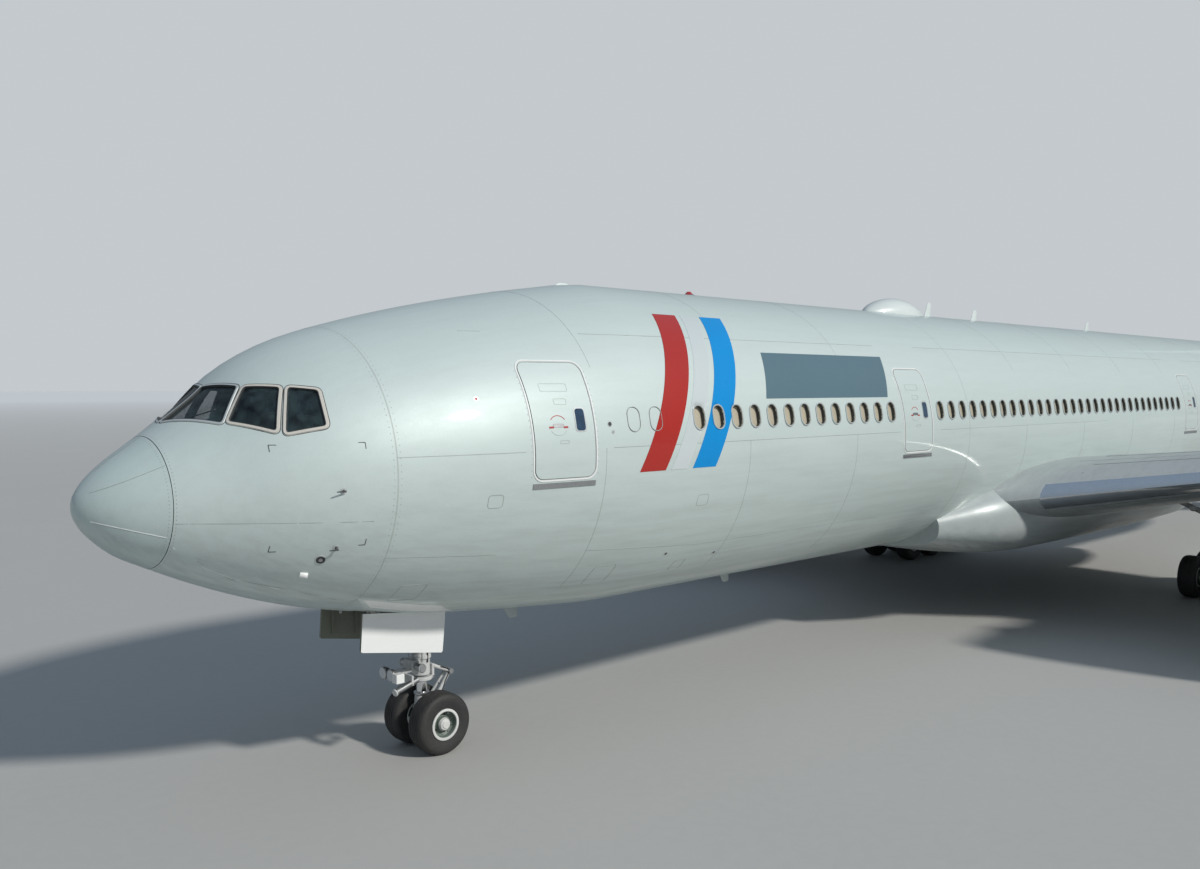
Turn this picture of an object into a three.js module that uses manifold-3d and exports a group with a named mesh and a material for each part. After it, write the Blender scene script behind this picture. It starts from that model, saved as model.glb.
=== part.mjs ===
// A twin-engined wide body airliner, parked on its gear, as a 1:2 scale model.
// Every size below is the real aircraft's, in millimetres; the outer group scales it to the model.
// Frame: nose towards -X, tail towards +X, left (port) side towards -Y, +Z up, ground at z = 0.

import * as THREE from 'three'
import { mergeVertices } from 'three/addons/utils/BufferGeometryUtils.js'
import Module from 'manifold-3d'

const wasm = await Module()
wasm.setup()

// Driving dimensions
const modelScale = 1 / 2
const overallLength = 63730
const fuselageRadius = 3100
const fuselageCentreZ = 5294
const seatGap = 0.6
const runningGap = 24
const fuselageSides = 32

// Where the fuselage is joined, along its length
const radomeJointX = 950
const noseJointX = 3650
const forwardJointX = 19500
const centreJointX = 38500
const aftJointX = 51500

// Flight deck
const flightDeckFloorZ = -430
const flightDeckWall = 60
const flightDeckFrontX = 1120

// Wing, with its plan given at the side of body, the kink and the tip
const wingSideY = 3100
const wingKinkY = 9700
const wingTipY = 30465

// Engines
const engineY = 9610
const engineZ = 2700 - fuselageCentreZ
const inletX = 21100

// Landing gear
const noseAxleX = 5780
const noseStrutX = 5680
const noseTyreRadius = 540
const towLugReach = 240
const mainGearY = 5490
const mainAxleX = [30300, 31770, 33240]
const mainTyreRadius = 635
const jackPadZ = 440
const wheelSides = 16

const model = new THREE.Group()
model.scale.setScalar(modelScale)
model.position.set(-overallLength / 2 * modelScale, 0, 0)

// Everything but the gear is placed from the fuselage's centre line
const airframe = new THREE.Group()
airframe.position.z = fuselageCentreZ
model.add(airframe)

const paints = {
  hull: [0xc3c9cb, 0.3, 0.35],
  radome: [0xbfc6c8, 0.35, 0.1],
  wing: [0xb4b8ba, 0.4, 0.3],
  white: [0xe6e8e8, 0.4, 0.0],
  fairing: [0xa9adaf, 0.45, 0.2],
  bareMetal: [0xb9bcc0, 0.3, 0.9],
  hotMetal: [0x6e6a66, 0.45, 0.8],
  gear: [0xd5d8d8, 0.45, 0.3],
  tyre: [0x1b1c1d, 0.85, 0.0],
  glass: [0x1a2226, 0.08, 0.0],
  cabin: [0x4b4d50, 0.8, 0.0],
}

// Hinge lines, kept for the joints
const hinges = {}

function piece(name, solid, paint, parent = airframe) {
  const [color, roughness, metalness] = paints[paint]
  const material = new THREE.MeshStandardMaterial({ color, roughness, metalness })
  const mesh = new THREE.Mesh(toGeometry(solid), material)
  mesh.name = name
  parent.add(mesh)
  return mesh
}

// Solids: a closed three.js geometry becomes a manifold, and goes back to a geometry at the end
function toSolid(geometry) {
  const bare = new THREE.BufferGeometry()
  bare.setAttribute('position', geometry.attributes.position)
  bare.setIndex(geometry.index ?? [...Array(geometry.attributes.position.count).keys()])
  const merged = mergeVertices(bare, 0.01)
  const place = merged.attributes.position
  const corners = merged.index.array
  const faces = []
  let volume = 0
  const [a, b, c] = [new THREE.Vector3(), new THREE.Vector3(), new THREE.Vector3()]
  for (let i = 0; i < corners.length; i += 3) {
    const [i0, i1, i2] = [corners[i], corners[i + 1], corners[i + 2]]
    if (i0 === i1 || i1 === i2 || i2 === i0) continue
    faces.push([i0, i1, i2])
    a.fromBufferAttribute(place, i0)
    b.fromBufferAttribute(place, i1)
    c.fromBufferAttribute(place, i2)
    volume += a.dot(b.cross(c))
  }
  const outward = volume > 0 ? faces : faces.map(([p, q, r]) => [p, r, q])
  return new wasm.Manifold(new wasm.Mesh({
    numProp: 3,
    vertProperties: new Float32Array(place.array),
    triVerts: new Uint32Array(outward.flat()),
  }))
}

function toGeometry(solid) {
  const mesh = solid.getMesh()
  const geometry = new THREE.BufferGeometry()
  geometry.setAttribute('position', new THREE.BufferAttribute(new Float32Array(mesh.vertProperties), 3))
  geometry.setIndex(new THREE.BufferAttribute(new Uint32Array(mesh.triVerts), 1))
  return geometry
}

function placed(geometry, position = [0, 0, 0], rotation = [0, 0, 0]) {
  const matrix = new THREE.Matrix4().makeRotationFromEuler(new THREE.Euler(...rotation))
  matrix.setPosition(...position)
  return toSolid(geometry.clone().applyMatrix4(matrix))
}

function box(x0, x1, y0, y1, z0, z1) {
  const geometry = new THREE.BoxGeometry(x1 - x0, y1 - y0, z1 - z0)
  return placed(geometry, [(x0 + x1) / 2, (y0 + y1) / 2, (z0 + z1) / 2])
}

function union(solids) {
  return solids.reduce((sum, next) => sum.add(next))
}

// Only the largest body of a cut piece is kept, without the slivers at its feathered edges
function largest(solid) {
  const bodies = solid.decompose()
  return bodies.reduce((best, next) => (next.volume() > best.volume() ? next : best))
}

// A solid with a gap's width added below it, ahead of it and at its sides
function padded(solid) {
  const shifts = [[0, 0, -seatGap], [-seatGap, 0, 0], [0, seatGap, 0], [0, -seatGap, 0]]
  return shifts.reduce((sum, shift) => sum.add(solid.translate(shift)), solid)
}

// A rod between two points, its ends square to it
function rod(from, to, radius, endRadius = radius, sides = 8, turn = 0) {
  const start = new THREE.Vector3(...from)
  const end = new THREE.Vector3(...to)
  const along = end.clone().sub(start)
  const geometry = new THREE.CylinderGeometry(endRadius, radius, along.length(), sides, 1, false, turn)
  geometry.applyQuaternion(new THREE.Quaternion().setFromUnitVectors(
    new THREE.Vector3(0, 1, 0), along.clone().normalize()))
  const middle = start.add(end).multiplyScalar(0.5)
  geometry.translate(middle.x, middle.y, middle.z)
  return toSolid(geometry)
}

// The bore that a round of this radius turns in. Its flats face the round's corners, a seat gap away.
function boreFor(from, to, radius, sides = 16) {
  const round = (radius + seatGap) / Math.cos(Math.PI / sides)
  return rod(from, to, round, round, sides, Math.PI / sides)
}

// A closed turned piece on an axis along X; profile rows are [x, radius], back to the axis or closed
function turnedOnX(profile, sides, x = 0, y = 0, z = 0) {
  const points = profile.map(([along, radius]) => new THREE.Vector2(radius, along))
  const geometry = new THREE.LatheGeometry(points, sides)
  geometry.rotateZ(-Math.PI / 2)
  geometry.translate(x, y, z)
  return toSolid(geometry)
}

// The same on an axis along Y, turned half a side so that a flat lies underneath
function turnedOnY(profile, sides, x = 0, y = 0, z = 0) {
  const points = profile.map(([along, radius]) => new THREE.Vector2(radius, along))
  const geometry = new THREE.LatheGeometry(points, sides, Math.PI / sides)
  geometry.translate(x, y, z)
  return toSolid(geometry)
}

// A skin through rings of points, closed at both ends; a ring may shrink to one point
function loft(rings) {
  const sides = rings[0].length
  const geometry = new THREE.CylinderGeometry(1, 1, 1, sides, rings.length - 1)
  const place = geometry.attributes.position
  const centres = [rings[0], rings.at(-1)].map((ring) => ring
    .reduce((sum, point) => sum.add(point), new THREE.Vector3())
    .divideScalar(sides))
  let index = 0
  for (const ring of rings) {
    for (let side = 0; side <= sides; side++) {
      place.setXYZ(index++, ...ring[side % sides])
    }
  }
  for (const end of [0, 1]) {
    const ring = end === 0 ? rings[0] : rings.at(-1)
    for (let side = 0; side < sides; side++) {
      place.setXYZ(index++, ...centres[end])
    }
    for (let side = 0; side <= sides; side++) {
      place.setXYZ(index++, ...ring[side % sides])
    }
  }
  return toSolid(geometry)
}

// Fuselage: each station is two half ellipses that meet at its widest line, the waist.
// Columns: x from the nose's tip, then crown, keel, half width and waist from the centre line.
const fuselageStations = [
  [0, -580, -580, 0, -580],
  [30, -420, -740, 180, -580],
  [110, -290, -890, 360, -580],
  [280, -100, -1085, 600, -580],
  [560, 125, -1315, 875, -575],
  [950, 395, -1515, 1155, -550],
  [1600, 890, -1820, 1560, -500],
  [2250, 1450, -2080, 1950, -420],
  [3050, 1865, -2340, 2320, -310],
  [4050, 2175, -2570, 2620, -180],
  [5350, 2490, -2790, 2880, -60],
  [6850, 2780, -2940, 3020, 0],
  [8000, 2960, -3035, 3080, 0],
  [9200, 3100, -3100, 3100, 0],
  [45000, 3100, -3100, 3100, 0],
  [48500, 3090, -2780, 3010, 120],
  [52000, 3030, -2000, 2700, 430],
  [55500, 2900, -1090, 2180, 860],
  [59000, 2640, -180, 1450, 1240],
  [61800, 2330, 540, 760, 1450],
  [63300, 2060, 960, 330, 1510],
  [overallLength, 1900, 1130, 150, 1520],
]

function stationAt(x) {
  const after = fuselageStations.findIndex((station) => station[0] >= x)
  if (after <= 0) return fuselageStations[0]
  const [low, high] = [fuselageStations[after - 1], fuselageStations[after]]
  const part = (x - low[0]) / (high[0] - low[0])
  return low.map((value, column) => value + (high[column] - value) * part)
}

function fuselageRing(x, grow) {
  const [, crown, keel, halfWidth, waist] = stationAt(x)
  const ring = []
  for (let side = 0; side < fuselageSides; side++) {
    const angle = side / fuselageSides * 2 * Math.PI
    const [across, up] = [Math.cos(angle), Math.sin(angle)]
    const reach = up >= 0 ? crown - waist : waist - keel
    const width = Math.max(halfWidth + grow, 0)
    ring.push(new THREE.Vector3(x, across * width, waist + up * Math.max(reach + grow, 0)))
  }
  return ring
}

function fuselageBetween(x0, x1, grow = 0) {
  const between = fuselageStations.map((station) => station[0]).filter((x) => x > x0 + 1 && x < x1 - 1)
  return loft([x0, ...between, x1].map((x) => fuselageRing(x, grow)))
}

// A prism that stands on a flat outline given by corners in space, reaching out and in from it
function windowPrism(corners, out, inward) {
  const [a, b, c, d] = corners.map((corner) => new THREE.Vector3(...corner))
  const along = b.clone().sub(a).normalize()
  const normal = along.clone().cross(d.clone().add(c).sub(a).sub(b)).normalize()
  const up = normal.clone().cross(along)
  const middle = a.clone().add(b).add(c).add(d).divideScalar(4)
  const outline = new THREE.Shape([a, b, c, d].map((corner) => {
    const offset = corner.sub(middle)
    return new THREE.Vector2(offset.dot(along), offset.dot(up))
  }))
  const geometry = new THREE.ExtrudeGeometry(outline, { depth: out + inward, bevelEnabled: false })
  geometry.translate(0, 0, -(out + inward) / 2)
  geometry.applyMatrix4(new THREE.Matrix4().makeBasis(along, up, normal).setPosition(middle))
  return toSolid(geometry)
}

// Flight deck windows, left side, corners in the order lower front, lower back, upper back, upper front
const flightDeckWindows = [
  [[1240, -35, 590], [1690, -1050, 590], [2040, -785, 1088], [1835, -35, 1085]],
  [[1765, -1120, 612], [2200, -1660, 490], [2425, -1315, 1080], [2095, -905, 1080]],
  [[2315, -1755, 462], [2790, -1997, 557], [2832, -1680, 1045], [2525, -1408, 1080]],
]

function buildNose() {
  piece('radome', fuselageBetween(0, radomeJointX - seatGap), 'radome')

  const aboveFloor = box(flightDeckFrontX, noseJointX + 100, -3000, 3000, flightDeckFloorZ, 3000)
  const cavity = fuselageBetween(flightDeckFrontX, noseJointX + 100, -flightDeckWall).intersect(aboveFloor)
  let shell = fuselageBetween(radomeJointX, noseJointX).subtract(cavity)
  for (const corners of flightDeckWindows) {
    const mirrored = corners.map(([x, y, z]) => [x, -y, z])
    shell = shell.subtract(windowPrism(corners, 250, 250)).subtract(windowPrism(mirrored, 250, 250))
  }
  piece('nose_section', shell, 'hull')

  // The glazing is one curved band of glass behind all six frames
  const glassDepth = 25
  const paneBand = box(1180, 2980, -2600, 2600, 400, 1200)
  const outerFace = fuselageBetween(1130, 3100, -flightDeckWall - seatGap)
  const innerFace = fuselageBetween(1100, 3150, -flightDeckWall - glassDepth)
  piece('flight_deck_glazing', largest(outerFace.subtract(innerFace).intersect(paneBand)), 'glass')

  // Floor plate, instrument panel with its glareshield, centre pedestal and two seats
  const floorTop = flightDeckFloorZ + seatGap + 30
  const fitOut = [
    box(1750, 3600, -1000, 1000, flightDeckFloorZ + seatGap, floorTop),
    box(1760, 2000, -880, 880, floorTop - 5, 340),
    box(1700, 2150, -960, 960, 300, 380),
    box(1990, 3050, -190, 190, floorTop - 5, 60),
  ]
  for (const side of [-1, 1]) {
    const y = side * 530
    fitOut.push(box(2700, 3100, y - 120, y + 120, floorTop - 5, -100))
    fitOut.push(box(2580, 3180, y - 250, y + 250, -120, 20))
    fitOut.push(placed(new THREE.BoxGeometry(130, 470, 760), [3180, y, 340], [0, 0.16, 0]))
    fitOut.push(placed(new THREE.BoxGeometry(110, 260, 200), [3250, y, 790], [0, 0.16, 0]))
  }
  piece('flight_deck_fit_out', union(fitOut), 'cabin')
}

// Doors: a box through the side gives both the panel and, grown by the gap, its pocket.
// Columns: name, side (-1 left, 1 right), centre x, width, sill z, head z, section.
const panelDepth = 160
const cabinDoors = [1, 2, 3, 4].flatMap((number) => ['left', 'right'].map((side) => ({
  name: `passenger_door_${number}_${side}`,
  side: side === 'left' ? -1 : 1,
  centreX: [6465, 17100, 35400, 48300][number - 1],
  width: 1260,
  sillZ: -385,
  headZ: 1530,
  section: ['forward', 'forward', 'centre', 'aft'][number - 1],
  gap: seatGap,
})))
const holdDoor = { side: 1, sillZ: -2330, headZ: -760, gap: runningGap }
const holdDoors = [
  { ...holdDoor, name: 'forward_cargo_door', centreX: 11700, width: 2690, section: 'forward' },
  { ...holdDoor, name: 'aft_cargo_door', centreX: 42600, width: 1780, section: 'aft' },
]
const bulkDoor = {
  name: 'bulk_cargo_door',
  side: 1,
  centreX: 46300,
  width: 910,
  sillZ: -2050,
  headZ: -1000,
  section: 'aft',
  gap: seatGap,
}

function doorBlock(door, grow) {
  const outline = new THREE.Shape()
  const [halfWidth, height, corner] = [door.width / 2 + grow, door.headZ - door.sillZ + 2 * grow, 190]
  outline.moveTo(-halfWidth + corner, 0)
  outline.lineTo(halfWidth - corner, 0)
  outline.absarc(halfWidth - corner, corner, corner, -Math.PI / 2, 0, false)
  outline.absarc(halfWidth - corner, height - corner, corner, 0, Math.PI / 2, false)
  outline.absarc(-halfWidth + corner, height - corner, corner, Math.PI / 2, Math.PI, false)
  outline.absarc(-halfWidth + corner, corner, corner, Math.PI, Math.PI * 1.5, false)
  const options = { depth: 3600, bevelEnabled: false, curveSegments: 2 }
  const geometry = new THREE.ExtrudeGeometry(outline, options)
  geometry.rotateX(Math.PI / 2)
  geometry.translate(door.centreX, door.side > 0 ? 3600 : 0, door.sillZ - grow)
  return toSolid(geometry)
}

// The shell between the skin and a depth inside it, along a length of fuselage
function skinLayer(x0, x1, depth) {
  return fuselageBetween(x0, x1).subtract(fuselageBetween(x0 - 50, x1 + 50, -depth))
}

function panelOf(door) {
  const reach = door.width / 2 + 100
  return skinLayer(door.centreX - reach, door.centreX + reach, panelDepth).intersect(doorBlock(door, 0))
}

function pocketOf(door) {
  const reach = door.width / 2 + 200
  const layer = fuselageBetween(door.centreX - reach, door.centreX + reach, 50)
    .subtract(fuselageBetween(door.centreX - reach - 50, door.centreX + reach + 50, -panelDepth - door.gap))
  return layer.intersect(doorBlock(door, door.gap))
}

// The hold behind a cargo door, as wide as the door and reaching past the middle
function holdBehind(door) {
  const half = door.width / 2 + door.gap
  const [floorZ, ceilingZ] = [door.sillZ + 20, door.headZ + door.gap]
  const room = box(door.centreX - half, door.centreX + half, -1200, 3100, floorZ, ceilingZ)
  const inside = fuselageBetween(door.centreX - half - 10, door.centreX + half + 10, -panelDepth / 2)
  return room.intersect(inside)
}

// A cargo door hangs from a barrel along its head, just outside the skin, that turns in a groove
const barrelRadius = 26

function hingeBarrel(door, grow) {
  const { y, z } = cargoHinge(door)
  const half = door.width / 2 - 200 + (grow > 0 ? runningGap : 0)
  const radius = (barrelRadius + grow) / (grow > 0 ? Math.cos(Math.PI / 12) : 1)
  return rod([door.centreX - half, y, z], [door.centreX + half, y, z], radius, radius, 12)
}

function cargoHinge(door) {
  const z = door.headZ + 10
  return { y: door.side * (Math.sqrt(fuselageRadius ** 2 - z ** 2) - 8), z }
}

function buildFuselage() {
  const sections = {
    forward: fuselageBetween(noseJointX + seatGap, forwardJointX - seatGap),
    centre: fuselageBetween(forwardJointX, centreJointX),
    aft: fuselageBetween(centreJointX + seatGap, aftJointX - seatGap),
  }
  for (const door of [...cabinDoors, bulkDoor]) {
    sections[door.section] = sections[door.section].subtract(pocketOf(door))
    piece(door.name, panelOf(door), 'hull')
  }
  for (const door of holdDoors) {
    const opening = union([pocketOf(door), holdBehind(door), hingeBarrel(door, seatGap)])
    sections[door.section] = sections[door.section].subtract(opening)
    piece(door.name, panelOf(door).add(hingeBarrel(door, 0)), 'hull')
    const { y, z } = cargoHinge(door)
    hinges[door.name] = { from: [door.centreX, y, z + fuselageCentreZ] }
  }
  // The nose gear bay, open below
  sections.forward = sections.forward.subtract(box(4000, 6200, -620, 620, -3300, -1500))
  piece('forward_fuselage', sections.forward, 'hull')
  piece('centre_fuselage', sections.centre, 'hull')
  piece('aft_fuselage', sections.aft, 'hull')
}

// Belly fairing: a flattened trough under the wing roots.
// Columns: x, half width, upper edge z, lower face z.
const fairingStations = [
  [19700, 2300, -1900, -3060],
  [21500, 3150, -1300, -3380],
  [23500, 3420, -1000, -3560],
  [30000, 3480, -950, -3600],
  [34500, 3420, -1050, -3560],
  [37000, 3000, -1500, -3330],
  [38400, 2200, -2000, -3060],
]

function fairingSolid(grow) {
  return loft(fairingStations.map(([x, halfWidth, upper, lower]) => {
    const ring = []
    const [middle, half] = [(upper + lower) / 2, (upper - lower) / 2]
    for (let side = 0; side < 28; side++) {
      const angle = side / 28 * 2 * Math.PI
      const square = (value) => Math.sign(value) * Math.abs(value) ** 0.7
      const across = square(Math.cos(angle)) * (halfWidth + grow)
      ring.push(new THREE.Vector3(x, across, middle + square(Math.sin(angle)) * (half + grow)))
    }
    return ring
  }))
}

// Flying surfaces. An outline section runs from the trailing edge over the top and back below.
// Each row is the height of the upper and lower faces, in parts of the thickness, at a part of the chord.
const sectionPoints = [
  [1, 0.02, -0.02],
  [0.82, 0.2, -0.15],
  [0.6, 0.42, -0.33],
  [0.35, 0.56, -0.44],
  [0.13, 0.46, -0.35],
  [0.025, 0.2, -0.18],
]
// Both faces of an even section take this part of the upper height
const evenShare = 0.9

// A station of a flying surface: its leading edge, its chord along X, its thickness and the way it is thick
function sectionRing({ edge, chord, thickness }, thick, symmetric = false) {
  const at = (part, height) => new THREE.Vector3(...edge)
    .add(new THREE.Vector3(part * chord, 0, 0))
    .addScaledVector(thick, height * thickness)
  const upper = sectionPoints.map(([part, high]) => at(part, symmetric ? high * 0.9 : high))
  const lower = sectionPoints
    .map(([part, high, low]) => at(part, symmetric ? -high * evenShare : low))
    .reverse()
  return [...upper, at(0, 0), ...lower]
}

// Columns: y, leading edge x, chord, z, thickness
const wingStations = [
  [1800, 20720, 14300, -2030, 1900],
  [wingSideY, 21600, 12900, -1850, 1700],
  [wingKinkY, 26080, 8450, -850, 950],
  [20000, 33070, 4850, 450, 470],
  [28600, 38910, 2350, 1650, 240],
  [29900, 40050, 1750, 1830, 170],
  [wingTipY, 41150, 900, 1910, 90],
]

const upward = new THREE.Vector3(0, 0, 1)
const sideward = new THREE.Vector3(0, 1, 0)

function mix(rows, column, value, key = 0) {
  const after = Math.max(1, rows.findIndex((row) => row[key] >= value))
  const [low, high] = [rows[after - 1], rows[after]]
  return low[column] + (high[column] - low[column]) * (value - low[key]) / (high[key] - low[key])
}

// A point in the wing at a part of the chord, midway between the faces, and the half thickness there
function wingPoint(y, part) {
  const [x, chord, z, thickness] = [1, 2, 3, 4].map((column) => mix(wingStations, column, y))
  const high = mixSection(part, 1)
  const low = mixSection(part, 2)
  return {
    place: new THREE.Vector3(x + part * chord, y, z + (high + low) / 2 * thickness),
    half: (high - low) / 2 * thickness,
    reach: (1 - part) * chord,
  }
}

function mixSection(part, column) {
  const rows = [...sectionPoints].reverse()
  return mix(rows, column, part)
}

// A surface that turns on a hinge line. Its nose is a cone round the hinge, its ends are square to the
// hinge, and the parent's cove leaves room for the whole turn.
function hingedSurface(parent, whole, { inner, outer, innerHalf, outerHalf, reach, thick, turn }) {
  const along = outer.clone().sub(inner)
  const length = along.length()
  along.normalize()
  const aft = thick.clone().cross(along).normalize()
  if (aft.x < 0) aft.negate()
  const out = along.clone().cross(aft).normalize()
  const frame = new THREE.Matrix4().makeBasis(aft, out, along)
  if (frame.determinant() < 0) throw new Error('left-handed hinge frame')
  const tall = 1.6 * Math.max(innerHalf, outerHalf) + 200
  const lean = tall * Math.tan(turn)
  const prismOf = (points, from, to) => {
    const outline = new THREE.Shape(points.map(([x, y]) => new THREE.Vector2(x, y)))
    const geometry = new THREE.ExtrudeGeometry(outline, { depth: to - from, bevelEnabled: false })
    geometry.translate(0, 0, from)
    geometry.applyMatrix4(frame.clone().setPosition(inner))
    return toSolid(geometry)
  }
  const noseOf = (grow, from, to) => {
    const radiusAt = (z) => innerHalf + (outerHalf - innerHalf) * z / length + grow
    const geometry = new THREE.CylinderGeometry(radiusAt(to), radiusAt(from), to - from, 12)
    geometry.rotateX(Math.PI / 2)
    geometry.translate(0, 0, (from + to) / 2)
    geometry.applyMatrix4(frame.clone().setPosition(inner))
    return toSolid(geometry)
  }
  // A pin at each end of the surface turns in a bore in the fixed part beside it
  const pinDepth = 150
  const onHinge = (z) => inner.clone().addScaledVector(along, z).toArray()
  const pinOf = (radius, from, to) => rod(onHinge(from), onHinge(to), radius)
  const boreOf = (radius, from, to) => boreFor(onHinge(from), onHinge(to), radius, 8)
  const [innerPin, outerPin] = [innerHalf * 0.4, outerHalf * 0.4]
  const [start, end] = [runningGap, length - runningGap]
  const behind = prismOf([[0, -tall], [reach, -tall], [reach, tall], [0, tall]], start, end)
  const surface = union([
    whole.intersect(behind),
    noseOf(0, start, end),
    pinOf(innerPin, -pinDepth, start + 50),
    pinOf(outerPin, end - 50, length + pinDepth),
  ])
  const bores = boreOf(innerPin, -pinDepth - 10, 10)
    .add(boreOf(outerPin, length - 10, length + pinDepth + 10))
  const cove = prismOf([[-runningGap, 0], [-runningGap - lean, -tall], [reach, -tall], [reach, tall],
    [-runningGap - lean, tall]], 0, length).add(noseOf(runningGap, 0, length))
  return { parent: parent.subtract(cove).subtract(bores), surface, inner, outer }
}

function buildWing(side) {
  const name = side < 0 ? 'left' : 'right'
  const whole = loft(wingStations.map(([y, x, chord, z, thickness]) => sectionRing(
    { edge: [x, y, z], chord, thickness }, upward)))
  const hull = handed(fuselageBetween(19000, 39000, seatGap).add(fairingSolid(seatGap)), side)
  let wing = whole.subtract(hull)
  wing = largest(wing)
  const panel = wing

  // Moving surfaces. Columns: name, inner y, outer y, chord part at each end, greatest turn in degrees
  const moving = [
    ['flaperon', 9050, 11050, 0.775, 0.745, 38],
    ['aileron', 22700, 27900, 0.745, 0.72, 34],
  ]
  for (const [label, y0, y1, part0, part1, turn] of moving) {
    const [start, end] = [wingPoint(y0, part0), wingPoint(y1, part1)]
    const made = hingedSurface(wing, panel, {
      inner: start.place,
      outer: end.place,
      innerHalf: start.half * 0.94,
      outerHalf: end.half * 0.94,
      reach: Math.max(start.reach, end.reach) * 1.3,
      thick: upward,
      turn: THREE.MathUtils.degToRad(turn),
    })
    wing = made.parent
    mirroredPiece(`${name}_${label}`, made.surface, side, 'wing')
    hinges[`${name}_${label}`] = hingeFor(made, side)
  }

  // Flaps, parked in the wing. Their ends lean inboard going aft, and stop at the moving surfaces.
  // Columns: name, inner y, outer y, chord part at each end, lean of each end
  const flapOutlines = [
    ['inboard_flap', 3750, 9090, 0.81, 0.8, 0, 0.1],
    ['outboard_flap', 11010, 22760, 0.775, 0.775, 0.5, 0.25],
  ]
  const flapSpace = []
  for (const [label, y0, y1, part0, part1, lean0, lean1] of flapOutlines) {
    const [x0, x1] = [wingPoint(y0, part0).place.x, wingPoint(y1, part1).place.x]
    const reach = 6000
    const outlineOf = (grow) => {
      const outline = new THREE.Shape([[x0 - grow, y0 - grow], [x1 - grow, y1 + grow],
        [x1 + reach, y1 + grow - lean1 * reach], [x0 + reach, y0 - grow - lean0 * reach]]
        .map((corner) => new THREE.Vector2(...corner)))
      const geometry = new THREE.ExtrudeGeometry(outline, { depth: 9000, bevelEnabled: false })
      geometry.translate(0, 0, -4500)
      return toSolid(geometry)
    }
    mirroredPiece(`${name}_${label}`, largest(wing.intersect(outlineOf(0))), side, 'wing')
    flapSpace.push(outlineOf(seatGap))
  }

  // Flap track fairings hang under the trailing edge, each fused to the wing ahead of its flap.
  // Columns: y, length, half width, depth
  const trackFairings = [
    [6900, 3600, 260, 520],
    [14200, 3200, 220, 430],
    [18600, 2700, 190, 360],
  ]
  for (const [y, length, halfWidth, depth] of trackFairings) {
    const { place, half } = wingPoint(y, 0.6)
    const canoe = new THREE.SphereGeometry(1, 6, 5)
    canoe.scale(length / 2, halfWidth, depth / 2)
    wing = wing.add(placed(canoe, [place.x + length * 0.12, y, place.z - half - depth * 0.1]))
  }
  wing = largest(wing.subtract(union(flapSpace)))
  mirroredPiece(`${name}_wing`, wing, side, 'wing')
  return wing
}

// Wings, stabilisers, engines and main gear are built on the right; the left ones are mirror images
function handed(solid, side) {
  return side < 0 ? solid.mirror([0, 1, 0]) : solid
}

function mirroredPiece(name, solid, side, paint, parent = airframe) {
  piece(name, handed(solid, side), paint, parent)
}

function hingeFor({ inner, outer }, side) {
  const flip = (point) => [point.x, side < 0 ? -point.y : point.y, point.z + fuselageCentreZ]
  return { from: flip(inner), to: flip(outer) }
}

// Tail. Stabiliser columns: y, leading edge x, chord, z, thickness
const stabiliserStations = [
  [900, 53200, 7600, 850, 760],
  [2000, 54000, 6850, 985, 680],
  [9900, 60220, 2780, 1955, 260],
  [10500, 60900, 2200, 2030, 180],
  [10760, 61500, 1350, 2060, 90],
]

// Fin columns: z, leading edge x, chord, thickness
const finStations = [
  [2300, 49000, 11500, 900],
  [3100, 50600, 9850, 860],
  [4300, 52100, 8900, 800],
  [12500, 59450, 3950, 400],
  [12950, 60050, 3350, 300],
  [13130, 60700, 2450, 150],
]

function buildTail() {
  const tailHull = fuselageBetween(aftJointX - 3000, overallLength - 1, seatGap)
  for (const side of [-1, 1]) {
    const name = side < 0 ? 'left' : 'right'
    const whole = loft(stabiliserStations.map(([y, x, chord, z, thickness]) => sectionRing(
      { edge: [x, y, z], chord, thickness }, upward, true))).subtract(handed(tailHull, side))
    const point = (y, part) => {
      const [x, chord, z, thickness] = [1, 2, 3, 4].map((column) => mix(stabiliserStations, column, y))
      const place = new THREE.Vector3(x + part * chord, y, z)
      return { place, half: mixSection(part, 1) * evenShare * thickness }
    }
    const [start, end] = [point(2650, 0.74), point(9800, 0.69)]
    const made = hingedSurface(whole, whole, {
      inner: start.place,
      outer: end.place,
      innerHalf: start.half * 0.93,
      outerHalf: end.half * 0.93,
      reach: 3200,
      thick: upward,
      turn: THREE.MathUtils.degToRad(34),
    })
    mirroredPiece(`${name}_stabiliser`, largest(made.parent), side, 'wing')
    mirroredPiece(`${name}_elevator`, made.surface, side, 'wing')
    hinges[`${name}_elevator`] = hingeFor(made, side)
  }

  const whole = loft(finStations.map(([z, x, chord, thickness]) => sectionRing(
    { edge: [x, 0, z], chord, thickness }, sideward, true)))
    .subtract(fuselageBetween(46000, overallLength - 1, seatGap))
  const point = (z, part) => {
    const [x, chord, thickness] = [1, 2, 3].map((column) => mix(finStations, column, z))
    const place = new THREE.Vector3(x + part * chord, 0, z)
    return { place, half: mixSection(part, 1) * evenShare * thickness }
  }
  const [start, end] = [point(3750, 0.71), point(12450, 0.68)]
  const made = hingedSurface(whole, whole, {
    inner: start.place,
    outer: end.place,
    innerHalf: start.half * 0.93,
    outerHalf: end.half * 0.93,
    reach: 4200,
    thick: sideward,
    turn: THREE.MathUtils.degToRad(28),
  })
  piece('fin', largest(made.parent), 'hull')
  piece('rudder', made.surface, 'hull')
  hinges.rudder = hingeFor(made, 1)
  piece('tail_cone', fuselageBetween(aftJointX, overallLength), 'hull')
}

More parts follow.
